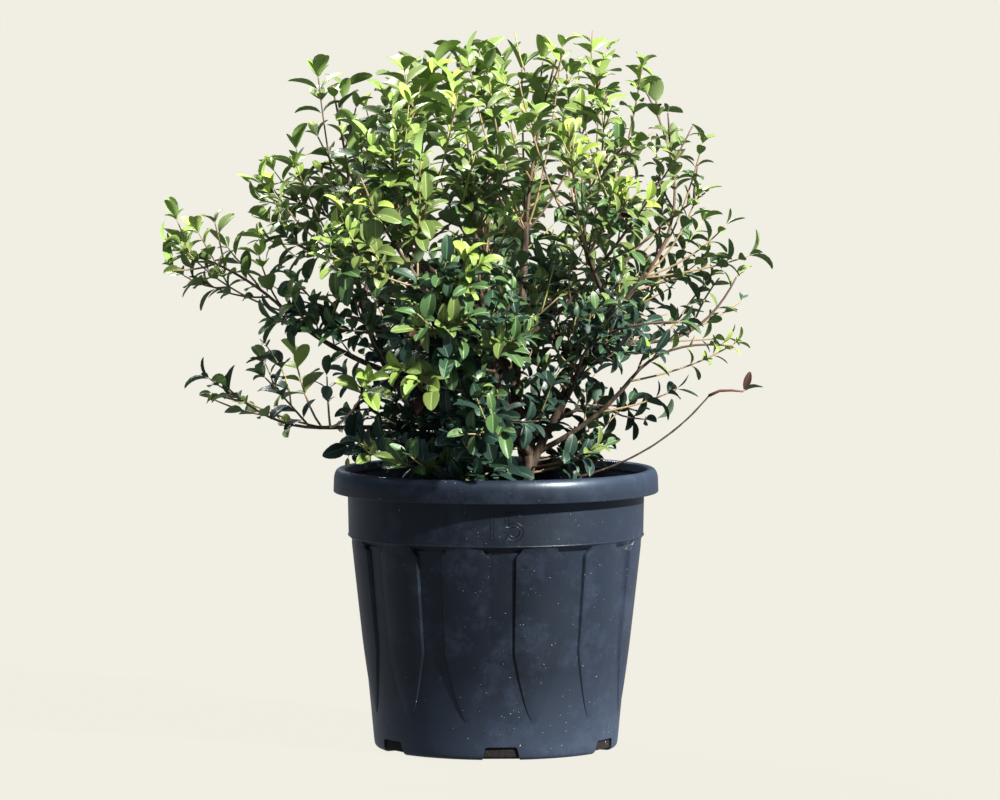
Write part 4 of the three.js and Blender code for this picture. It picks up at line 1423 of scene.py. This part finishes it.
def leaf_faces():
    """The faces of every leaf, as (faces, their kinds) for each number of sides."""
    rings = len(BLADE_SHARES) + 1
    quads = bands(rings, LEAF_CORNERS)[:, [0, 3, 2, 1]]
    root, tip = fans(rings, LEAF_CORNERS)
    triangles = np.concatenate([root[:, [2, 1, 0]], tip[:, [0, 2, 1]]])
    return (quads, np.tile(CORNER_KINDS, rings - 1)), (triangles, np.tile(CORNER_KINDS, 2))


class Leaves:
    """The leaves of one group of masses, gathered and then made at once."""

    def __init__(self):
        self.rows = []

    def add(self, root, heading, facing, length, form, tint):
        over = unit(facing - heading * facing.dot(heading))
        across = np.cross(over, heading)
        axes = (heading * length, across * length, over * length)
        self.rows.append((root, *axes, form, list(TINTS).index(tint)))

    def shape(self, forms):
        roots, *axes = (np.array([row[i] for row in self.rows]) for i in range(4))
        form = forms[[row[4] for row in self.rows]]
        tints = np.array([row[5] for row in self.rows])
        corners = roots[:, None] + sum(form[:, :, i, None] * axis[:, None] for i, axis in enumerate(axes))
        starts = np.arange(len(self.rows)) * form.shape[1]
        shape = Shape()
        shape.add(corners)
        for faces, kinds in leaf_faces():
            shape.faces.append((faces[None] + starts[:, None, None]).reshape(-1, faces.shape[1]))
            shape.slots.append((tints[:, None] * len(LEAF_SHINE) + kinds[None]).ravel())
        return shape


# Foliage

def seeded(seed):
    """The source's numbers from 0 to 1."""
    state = (seed * 2654435761 + 12345) & 0xFFFFFFFF

    def draw():
        nonlocal state
        state = (state * 1664525 + 1013904223) & 0xFFFFFFFF
        return state / 4294967296
    return draw


def side_twigs(mass, index):
    """The side twigs of a mass by the source's rule, as (start, heading, length)."""
    draw = seeded(SEED + index)
    stem = mass["stem"]
    whole = np.linalg.norm(mass["tip"] - mass["base"])
    first = draw() * 360
    for i in range(1 if whole < SMALL_MASS else TWIG_COUNT):
        share = TWIG_FIRST + (TWIG_LAST - TWIG_FIRST) * i / (TWIG_COUNT - 1)
        turn = first + TWIG_TURN * i + TWIG_SPREAD_TURN * (draw() - 0.5)
        angle = TWIG_ANGLE + TWIG_SPREAD_ANGLE * (draw() - 0.5)
        reach = TWIG_REACH * (1 - TWIG_TAPER * share) * (1 + TWIG_SPREAD_REACH * (draw() - 0.5))
        length = min(reach, whole) - LEAF_TIP_SHARE * SOURCE_LEAF
        along = stem.heading(share)
        outward = turned(frame_of(along)[0], along, turn)
        yield stem.at(share), unit(leaning(along, outward, angle) + UP * TWIG_LIFT), length


def twigs_between(mass, index):
    """Finer twigs halfway between the source's own, on the other side of the stem."""
    stem = mass["stem"]
    twigs = list(side_twigs(mass, index))
    for (start, heading, length), (after, _, _) in zip(twigs, twigs[1:]):
        axis = unit(after - start)
        yield (start + after) / 2, turned(heading, axis, 180 + TWIG_TURN / 2), length * BETWEEN_REACH
    if len(twigs) > 1:
        start, heading, length = twigs[-1]
        yield stem.at(0.5 + TWIG_LAST / 2), turned(heading, stem.heading(1), 180), length * BETWEEN_REACH


def straggle(start, heading, goal, pull, joints, rng):
    """The joints of a shoot that bends towards its goal and sways a little."""
    points = [start]
    for _ in range(joints):
        sway = np.array([rng.gauss(0, SWAY) for _ in range(3)])
        heading = unit(heading + goal * pull + sway)
        points.append(points[-1] + heading * JOINT * rng.uniform(*JOINT_SPREAD))
    return np.array(points)


def within(value, low=0, high=1):
    return min(high, max(low, value))


def lowest(place):
    """How low the growth may hang: over the mix, over the rim, and clear of the pot outside."""
    reach = math.hypot(place[0], place[1])
    if reach < LIP_RADIUS - MIX_CLEARANCE:
        return GROUND + MIX_CLEARANCE
    if reach < RIM_RADIUS + RIM_CLEARANCE:
        return POT_HEIGHT + RIM_CLEARANCE
    return OUTSIDE_LOW


def dome_reach(height):
    return DOME_REACH * math.sqrt(max(0, 1 - (max(0, height - DOME_MIDDLE) / DOME_RISE) ** 2))


def in_dome(place):
    """True inside the crown's wavering outline."""
    dent = DOME_WAVER * max(0, noise.noise(Vector(place) / DOME_WAVE) + DOME_EVEN)
    return math.hypot(place[0] - DOME_SHIFT, place[1]) + dent < dome_reach(place[2] + dent)


class Crown:
    """Where the foliage may grow: it keeps leaves in their mass's reach, and apart."""

    def __init__(self, limbs, masses):
        self.masses = masses
        self.centres = np.array([mass["centre"] for mass in masses])
        solids = [node_corners("foliage_" + mass["name"]) for mass in masses]
        self.low = [solid.min(axis=0) - HOME_MARGIN for solid in solids]
        self.high = [solid.max(axis=0) + HOME_MARGIN for solid in solids]
        self.box_low, self.box_high = (np.array(corner) / MM for corner in CAD_BOX)
        self.box_high[2] = CROWN_HIGH
        corners = np.concatenate(solids)
        self.solid = KDTree(len(corners))
        for i, corner in enumerate(corners):
            self.solid.insert(corner, i)
        self.solid.balance()
        lines = {limb["name"]: [limb["curve"].at(s) for s in np.linspace(*LIMB_SHARES)] for limb in limbs}
        self.wood = np.concatenate(list(lines.values()))
        self.forks = np.concatenate([line for name, line in lines.items() if name != "bough_whip"])
        self.taken = {}
        self.thinned = True
        self.shown = False

    def at_home(self, place, index):
        """True if a place is in reach of its mass or, for growth without an index, of any."""
        if (place < self.box_low).any() or (place > self.box_high).any() or place[2] < lowest(place):
            return False
        arm = index is not None and self.masses[index]["name"] in ARMS
        if not arm and not self.shown and not in_dome(place):
            return False
        if index is None:
            reach = SHOWN_REACH if self.shown else FILL_REACH
            return self.solid.find(place)[2] < reach or place[2] < POT_HEIGHT + FILL_REACH
        if (place < self.low[index]).any() or (place > self.high[index]).any():
            return False
        mass = self.masses[index]
        if arm:
            axis = mass["tip"] - mass["base"]
            share = within((place - mass["base"]).dot(axis) / axis.dot(axis))
            if place[2] < (mass["base"] + axis * share)[2] - ARM_DROOP:
                return False
        apart = np.linalg.norm(self.centres - place, axis=1)
        return apart[index] <= apart.min() + HOME_SLACK

    def clear(self, place):
        """True if no other leaf's middle is near, which then books the place."""
        cell = tuple((place // LEAF_CLEARANCE).astype(int))
        for step in product((-1, 0, 1), repeat=3):
            for other in self.taken.get(tuple(np.add(cell, step)), ()):
                if np.linalg.norm(other - place) < LEAF_CLEARANCE:
                    return False
        self.taken.setdefault(cell, []).append(place)
        return True

    def left_off(self, place, weight, rng):
        """True for what is left off, because the photograph shows sky there."""
        return self.thinned and rng.random() < openness(place) * weight

    def off_the_wood(self, place):
        return np.linalg.norm(self.wood - place, axis=1).min() > LIMB_CLEARANCE

    def kept(self, points, index):
        """The part of a shoot that stays in its mass's reach."""
        for i in range(1, len(points)):
            if not self.at_home(points[i], index):
                return points[:max(1, i - 1)]
        return points


def pixel_of(place):
    return (AXIS_PIXEL + place[0] * MM * PIXELS_PER_METRE, GROUND_PIXEL - place[2] * MM * PIXELS_PER_METRE)


def place_of(pixel_x, pixel_y, depth):
    x = (pixel_x - AXIS_PIXEL) / PIXELS_PER_METRE / MM
    return np.array([x, depth, (GROUND_PIXEL - pixel_y) / PIXELS_PER_METRE / MM])


def fresh_spot(place):
    """Which spray of young leaves of the photograph's a place is in, if any."""
    for name, spot in FRESH_SPOTS.items():
        deepest = FRONT_DEPTH if name in FRONT_SPOTS else OUTER_DEPTH
        if math.dist(pixel_of(place), spot) < FRESH_SPOT_SIZE and place[1] < deepest:
            return name
    return None


def brownness(place):
    """The chance that a leaf has dried."""
    near = any(math.dist(pixel_of(place), spot) < BROWN_SPOT_SIZE for spot in BROWN_SPOTS.values())
    return BROWN_SPOT_CHANCE if near and place[1] < 0 else BROWN_CHANCE


def openness(place):
    """The share of shoots that the photograph leaves off at a place."""
    pixel = pixel_of(place)
    low, high = OPEN_HEIGHTS
    shares = [OPEN_SHARE * within((place[2] - low) / (high - low))]
    spots = list(OPEN_PLACES.values())
    if place[1] < OPEN_FRONT_DEPTH:
        spots += OPEN_FRONT.values()
    return max(shares + [share for x, y, size, share in spots if math.dist(pixel, (x, y)) < size])


def tint_of(tip, rng, young):
    """A spray's tint: fresher where the shoot is a young one. Higher up and further out it is paler, a
    painted light standing in for sun on the crown and its glow through the top leaves; low near the pot it is
    darker, a painted shade.
    """
    spot = fresh_spot(tip)
    if spot in PALE_SPOTS:
        return "fresh" if young else "olive"
    if spot:
        return "lime" if young and rng.random() < LIME_CHANCE else "fresh"
    light = within((tip[2] - SHADE_HEIGHT) / (LIGHT_HEIGHT - SHADE_HEIGHT), LOW_LIGHT)
    light += OUTER_LIGHT * within((math.hypot(tip[0], tip[1]) - OUTER_REACH) / OUTER_REACH)
    score = TINT_WEIGHTS["light"] * light + TINT_WEIGHTS["chance"] * rng.random()
    if young:
        score += TINT_WEIGHTS["young"] * rng.random()
    return list(TINTS)[sum(score > step for step in TINT_STEPS)]


def leaf_pair(crown, leaves, index, point, along, outward, rng, tint, young, scale):
    """Two opposite leaves at a joint."""
    for hand in (1, -1):
        heading = leaning(along, outward * hand, rng.uniform(*(YOUNG if young else GROWN)["angle"]))
        if not young:
            heading = heading + UP * rng.uniform(*LEAF_LIFT)
        heading = unit(heading)
        facing = along * FACE_ALONG + UP * rng.uniform(*FACE_UP)
        if abs(unit(facing).dot(heading)) > EDGE_ON:
            facing = frame_of(heading)[1]
        length = rng.uniform(*LEAF_LENGTH) * scale
        middle = point + heading * length / 2
        if not crown.at_home(point + heading * length, index) or not crown.off_the_wood(middle):
            continue
        if crown.left_off(middle, OPEN_LEAVES, rng) or not crown.clear(middle):
            continue
        form = rng.randrange(LEAF_SHAPES // 2) + (LEAF_SHAPES // 2 if young else 0)
        own = "brown" if rng.random() < brownness(middle) else tint
        leaves.add(point, heading, facing, length, form, own)


def dress(crown, leaves, index, points, bare, rng, vigour):
    """Pairs of leaves at the joints of a shoot beyond its bare foot, and young ones at its end."""
    end = points[-1]
    low, high = TOP_HEIGHTS
    vigour *= 1 + TOP_SIZE * within((end[2] - low) / (high - low))
    vigour *= 1 - RIGHT_SHRINK * within(end[0] / RIGHT_PLACE)
    base_tint, tip_tint = (tint_of(end, rng, young) for young in (False, True))
    quarter = rng.randrange(2)
    last = len(points) - 1
    for i in range(bare, last + 1):
        along = unit(points[i] - points[i - 1])
        across, over = frame_of(along)
        outward = over if (i + quarter) % 2 else across
        outward = turned(outward, along, rng.uniform(-PAIR_TURN, PAIR_TURN))
        size = {last: YOUNG_SIZE, last - 1: NEXT_PAIR_SIZE}.get(i, 1) * vigour
        tint = tip_tint if i >= last - 1 else base_tint
        leaf_pair(crown, leaves, index, points[i], along, outward, rng, tint, i == last, size)
        if i == last:
            inner = np.cross(along, outward)
            leaf_pair(crown, leaves, index, points[i], along, inner, rng, tint, True, size * BUD_SIZE)


def shoot(crown, leaves, twigs, index, start, heading, goal, joints, rng):
    """One leafy shoot, if it has room."""
    points = crown.kept(straggle(start, heading, goal, SHOOT_PULL, joints, rng), index)
    if len(points) < 2 or crown.left_off(points[-1], 1, rng):
        return
    before = len(leaves.rows)
    dress(crown, leaves, index, points, 1, rng, rng.uniform(*SHOOT_VIGOUR))
    if len(leaves.rows) > before:
        wood = np.linspace(*SHOOT_WOOD, len(points))
        tube(twigs, points, wood, SHOOT_FACETS, rng.choice(YOUNG_WOODS))


def fork(crown, leaves, twigs, index, points, i, goal, chance, rng):
    """A pair of shoots from a joint of a twig."""
    along = unit(points[i] - points[i - 1])
    across, over = frame_of(along)
    spread = FORK_SPREAD["turn"]
    outward = turned(over if i % 2 else across, along, rng.uniform(-spread, spread))
    for hand in (1, -1):
        if rng.random() > chance:
            continue
        angle = SHOOT_ANGLE + rng.uniform(-FORK_SPREAD["angle"], FORK_SPREAD["angle"])
        heading = unit(leaning(along, outward * hand, angle))
        shoot(crown, leaves, twigs, index, points[i], heading, goal, rng.randint(*SHOOT_JOINTS), rng)


def whip_end(mass):
    """The whip carried on to where the photograph shows its tip."""
    end = place_of(*WHIP_END, mass["tip"][1])
    return bezier(mass["base"], mass["base"] + mass["lead"] * WHIP_STRAIGHT, end)


def grow_mass(crown, leaves, twigs, index):
    """One mass: the source's stem and side twigs, carried on to finer shoots."""
    mass = crown.masses[index]
    rng = Random(SEED * MASS_SEEDS + index)
    whip = mass["name"] == "whip"
    line = whip_end(mass) if whip else mass["stem"]
    rule = GROUPS[group_of(mass["name"])]
    full = rule["full"]
    goal = unit(unit(mass["tip"] - mass["base"]) + UP * rule["light"])
    count = max(FEWEST_JOINTS["stem"], round(line.length / JOINT))
    stem = line.places(count)
    tube(twigs, stem, np.linspace(*STEM_WOOD, len(stem)), TWIG_FACETS, WHIP_BARK if whip else 0)
    dress(crown, leaves, index, stem, 2, rng, 1)
    if whip:
        leaves.add(stem[-1], *DRIED_LEAF, LEAF_LENGTH[0], LEAF_SHAPES - 1, "brown")
    else:
        for i in range(1, count):
            fork(crown, leaves, twigs, index, stem, i, goal, STEM_FORK_CHANCE * full, rng)
    between = [twig for twig in twigs_between(mass, index) if rng.random() < full]
    for start, heading, length in [*side_twigs(mass, index), *between]:
        joints = max(FEWEST_JOINTS["twig"], round(length / JOINT) + 1)
        twig = crown.kept(straggle(start, heading, goal, TWIG_PULL, joints, rng), index)
        if len(twig) < 2 or crown.left_off(twig[-1], OPEN_LEAVES, rng):
            continue
        tube(twigs, twig, np.linspace(*TWIG_WOOD, len(twig)), TWIG_FACETS, rng.choice(OLD_WOODS))
        dress(crown, leaves, index, twig, 1, rng, rng.uniform(*TWIG_VIGOUR))
        for i in range(1, len(twig) - 1):
            fork(crown, leaves, twigs, index, twig, i, goal, TWIG_FORK_CHANCE * full, rng)


def grow_limb_shoots(crown, leaves, twigs, limb, rng):
    """Leafy shoots straight off the trunk, a stem or a bough."""
    rule = LIMB_SHOOTS[limb["name"].split("_")[0]]
    curve = limb["curve"]
    stretch = rule["last"] - rule["first"]
    count = int(curve.length * stretch / rule["spacing"])
    pair_turn, spread = LIMB_SHOOT_TURNS
    pull = LIMB_SHOOT_GOAL
    for i in range(count):
        share = rule["first"] + stretch * (i + rng.random() * LIMB_SHOOT_SHIFT) / count
        place = curve.at(share)
        along = curve.heading(share)
        outward = turned(frame_of(along)[0], along, pair_turn * i + rng.uniform(-spread, spread))
        level = unit(place * (1, 1, 0) + outward * LIMB_SHOOT_OUT)
        for hand in (1, -1):
            if rng.random() > rule["chance"]:
                continue
            heading = unit(leaning(along, outward * hand, rng.uniform(*LIMB_SHOOT_ANGLE)))
            goal = unit(along * pull["along"] + level * pull["level"] * hand + UP * pull["up"])
            shoot(crown, leaves, twigs, None, place, heading, goal, rng.randint(*rule["joints"]), rng)


def grow_to(crown, leaves, twigs, tip, leafy, rng, size=1):
    """A twig from the handiest limb to a place, with leaves and shoots on its outer joints."""
    if crown.left_off(tip, 1, rng):
        return
    apart = np.linalg.norm(crown.forks - tip, axis=1)
    fall = np.maximum(0, crown.forks[:, 2] + WOOD_RISE - tip[2])
    start = crown.forks[np.argmin(apart + FALL_WEIGHT * fall)]
    curve = bezier(start, start + (tip - start) * np.array(TWIG_BEND), tip)
    count = max(FEWEST_JOINTS["stem"], round(curve.length / JOINT))
    points = curve.places(count)
    away = [i for i in range(count // 2, count + 1) if not crown.at_home(points[i], None)]
    points = points[:away[0]] if away else points
    if len(points) < FEWEST_POINTS:
        return
    bare = max(2, len(points) - leafy)
    before = len(leaves.rows)
    dress(crown, leaves, None, points, bare, rng, rng.uniform(*TWIG_VIGOUR) * size)
    if len(leaves.rows) < before + FEWEST_LEAVES:
        del leaves.rows[before:]
        return
    tube(twigs, points, np.linspace(*TWIG_WOOD, len(points)), TWIG_FACETS, rng.choice(OLD_WOODS))
    if leafy >= FORKED_LEAFY:
        goal = unit(curve.heading(1) + UP * TWIG_TIP_RISE)
        for i in range(bare, len(points) - 1):
            fork(crown, leaves, twigs, None, points, i, goal, TWIG_TIP_FORKS, rng)


def grow_dome(crown, leaves, twigs, rng):
    """Upright twigs to places spread evenly over the dome and through its outer parts."""
    rule = DOME_TWIGS
    for i in range(rule["count"]):
        height = rule["low"] + (rule["high"] - rule["low"]) * (i + rng.random()) / rule["count"]
        tip = cylindrical(rule["turn"] * i, dome_reach(height) * rng.uniform(*rule["share"]), height)
        crown.thinned = abs(tip[1]) < max(DOME_FULL_FROM, abs(tip[0]))
        grow_to(crown, leaves, twigs, tip, rule["leafy"], rng)
    tips = [(cylindrical(*place), FAR_LEAFY, 1) for place in FAR_TWIGS]
    grow_whole(crown, leaves, twigs, tips, rng)


def grow_basal(crown, leaves, twigs, rng):
    """Low twigs that spread over the mix and the rim."""
    rule = BASAL_TWIGS
    for i in range(rule["count"]):
        tip = cylindrical(rule["turn"] * i, rng.uniform(*rule["reach"]), rng.uniform(*rule["height"]))
        grow_to(crown, leaves, twigs, tip, rule["leafy"], rng)


def grow_shown(crown, leaves, twigs, rng):
    """The twigs that the photograph shows."""
    tips = [(place_of(x, y, depth), leafy, LARGE_SIZE if name in LARGE_LEAVED else 1)
            for name, (x, y, depth, leafy) in SHOWN_TWIGS.items()]
    grow_whole(crown, leaves, twigs, tips, rng)


def grow_whole(crown, leaves, twigs, tips, rng):
    """Twigs of which nothing is left off, and which may leave the dome."""
    crown.thinned = False
    crown.shown = True
    for tip, leafy, size in tips:
        grow_to(crown, leaves, twigs, tip, leafy, rng, size)
    crown.thinned = True
    crown.shown = False


def group_of(name):
    """The group of masses that a mass is joined with."""
    if name in CROWNS:
        return "crown"
    if name in ARMS:
        return "arms"
    return name.split("_")[0]


def make_foliage(limbs, masses):
    forms = np.array([leaf_form(Random(i), i >= LEAF_SHAPES // 2) for i in range(LEAF_SHAPES)])
    leaf_looks = leaf_materials()
    wood_looks = wood_materials()
    crown = Crown(limbs, masses)
    groups = {}

    def group(name):
        return groups.setdefault(name, (Leaves(), Shape(), []))

    rng = Random(CROWN_SEED)
    for limb in limbs:
        if limb["name"] != "bough_whip":
            grow_limb_shoots(crown, *group("limbs")[:2], limb, rng)
    for name, grow in (("shown", grow_shown), ("basal", grow_basal), ("dome", grow_dome)):
        grow(crown, *group(name)[:2], rng)
    for index, mass in enumerate(masses):
        leaves, twigs, nodes = group(group_of(mass["name"]))
        grow_mass(crown, leaves, twigs, index)
        nodes.append("foliage_" + mass["name"])
    for name, (leaves, twigs, nodes) in groups.items():
        add_piece("leaves_" + name, leaves.shape(forms), leaf_looks, SHARP["leaves"], nodes)
        add_piece("twigs_" + name, twigs, wood_looks, SHARP["twigs"], nodes)


# Camera, lights and floor

def make_camera():
    data = bpy.data.cameras.new("camera")
    data.lens = CAMERA_LENS
    data.sensor_width = CAMERA_SENSOR
    data.clip_end = CAMERA_FAR
    camera = placed("camera", data)
    place, target = (Vector(point) * MM for point in (CAMERA_PLACE, CAMERA_TARGET))
    camera.location = place
    camera.rotation_euler = (target - place).to_track_quat("-Z", "Y").to_euler()
    bpy.context.scene.camera = camera


def sun(name, azimuth, elevation, strength, softness, colour):
    data = bpy.data.lights.new(name, "SUN")
    data.energy = strength
    data.angle = math.radians(softness)
    data.color = colour
    light = placed(name, data)
    rise = math.radians(elevation)
    towards = Vector(cylindrical(azimuth, math.cos(rise), math.sin(rise)))
    light.rotation_euler = towards.to_track_quat("Z", "Y").to_euler()


def make_studio():
    scene = bpy.context.scene
    scene.view_settings.view_transform = "Standard"
    world = bpy.data.worlds.new("studio")
    scene.world = world
    world.use_nodes = True
    tree = world.node_tree
    rays = node(tree, "ShaderNodeLightPath").outputs["Is Camera Ray"]
    towards = node(tree, "ShaderNodeTexCoord").outputs["Generated"]
    up = node(tree, "ShaderNodeSeparateXYZ", {"Vector": towards}).outputs["Z"]
    low = mixed(tree, ranged(tree, up, *GROUND_EDGE), BOUNCE, FILL)
    around = mixed(tree, ranged(tree, up, *SKY_EDGE), low, OVERHEAD)
    backdrop = linear(BACKDROP)
    tree.links.new(mixed(tree, rays, around, backdrop), tree.nodes["Background"].inputs["Color"])
    for name, lamp in SUNS.items():
        sun(name, **lamp)
    floor = bpy.data.meshes.new("floor")
    half = FLOOR_SIZE / 2
    corners = [(-half, -half, 0), (half, -half, 0), (half, half, 0), (-half, half, 0)]
    floor.from_pydata(corners, [], [(0, 1, 2, 3)])
    suns = sum(lamp["strength"] * math.sin(math.radians(lamp["elevation"])) for lamp in SUNS.values())
    lit = FILL[1] + suns / math.pi
    paint = [share * FLOOR_PAINT for share in backdrop]
    glow = dict(Emission_Color=(*backdrop, 1), Emission_Strength=1 - FLOOR_PAINT * lit)
    floor.materials.append(principled("floor", paint, 1, Specular_IOR_Level=0, **glow)[0])
    stage = placed("floor", floor)
    stage.visible_diffuse = False
    stage.visible_glossy = False


make_camera()
make_studio()
make_pot(pot_plastic())
make_mix()
LIMBS, MASSES = lay_out()
make_limbs(LIMBS)
make_foliage(LIMBS, MASSES)
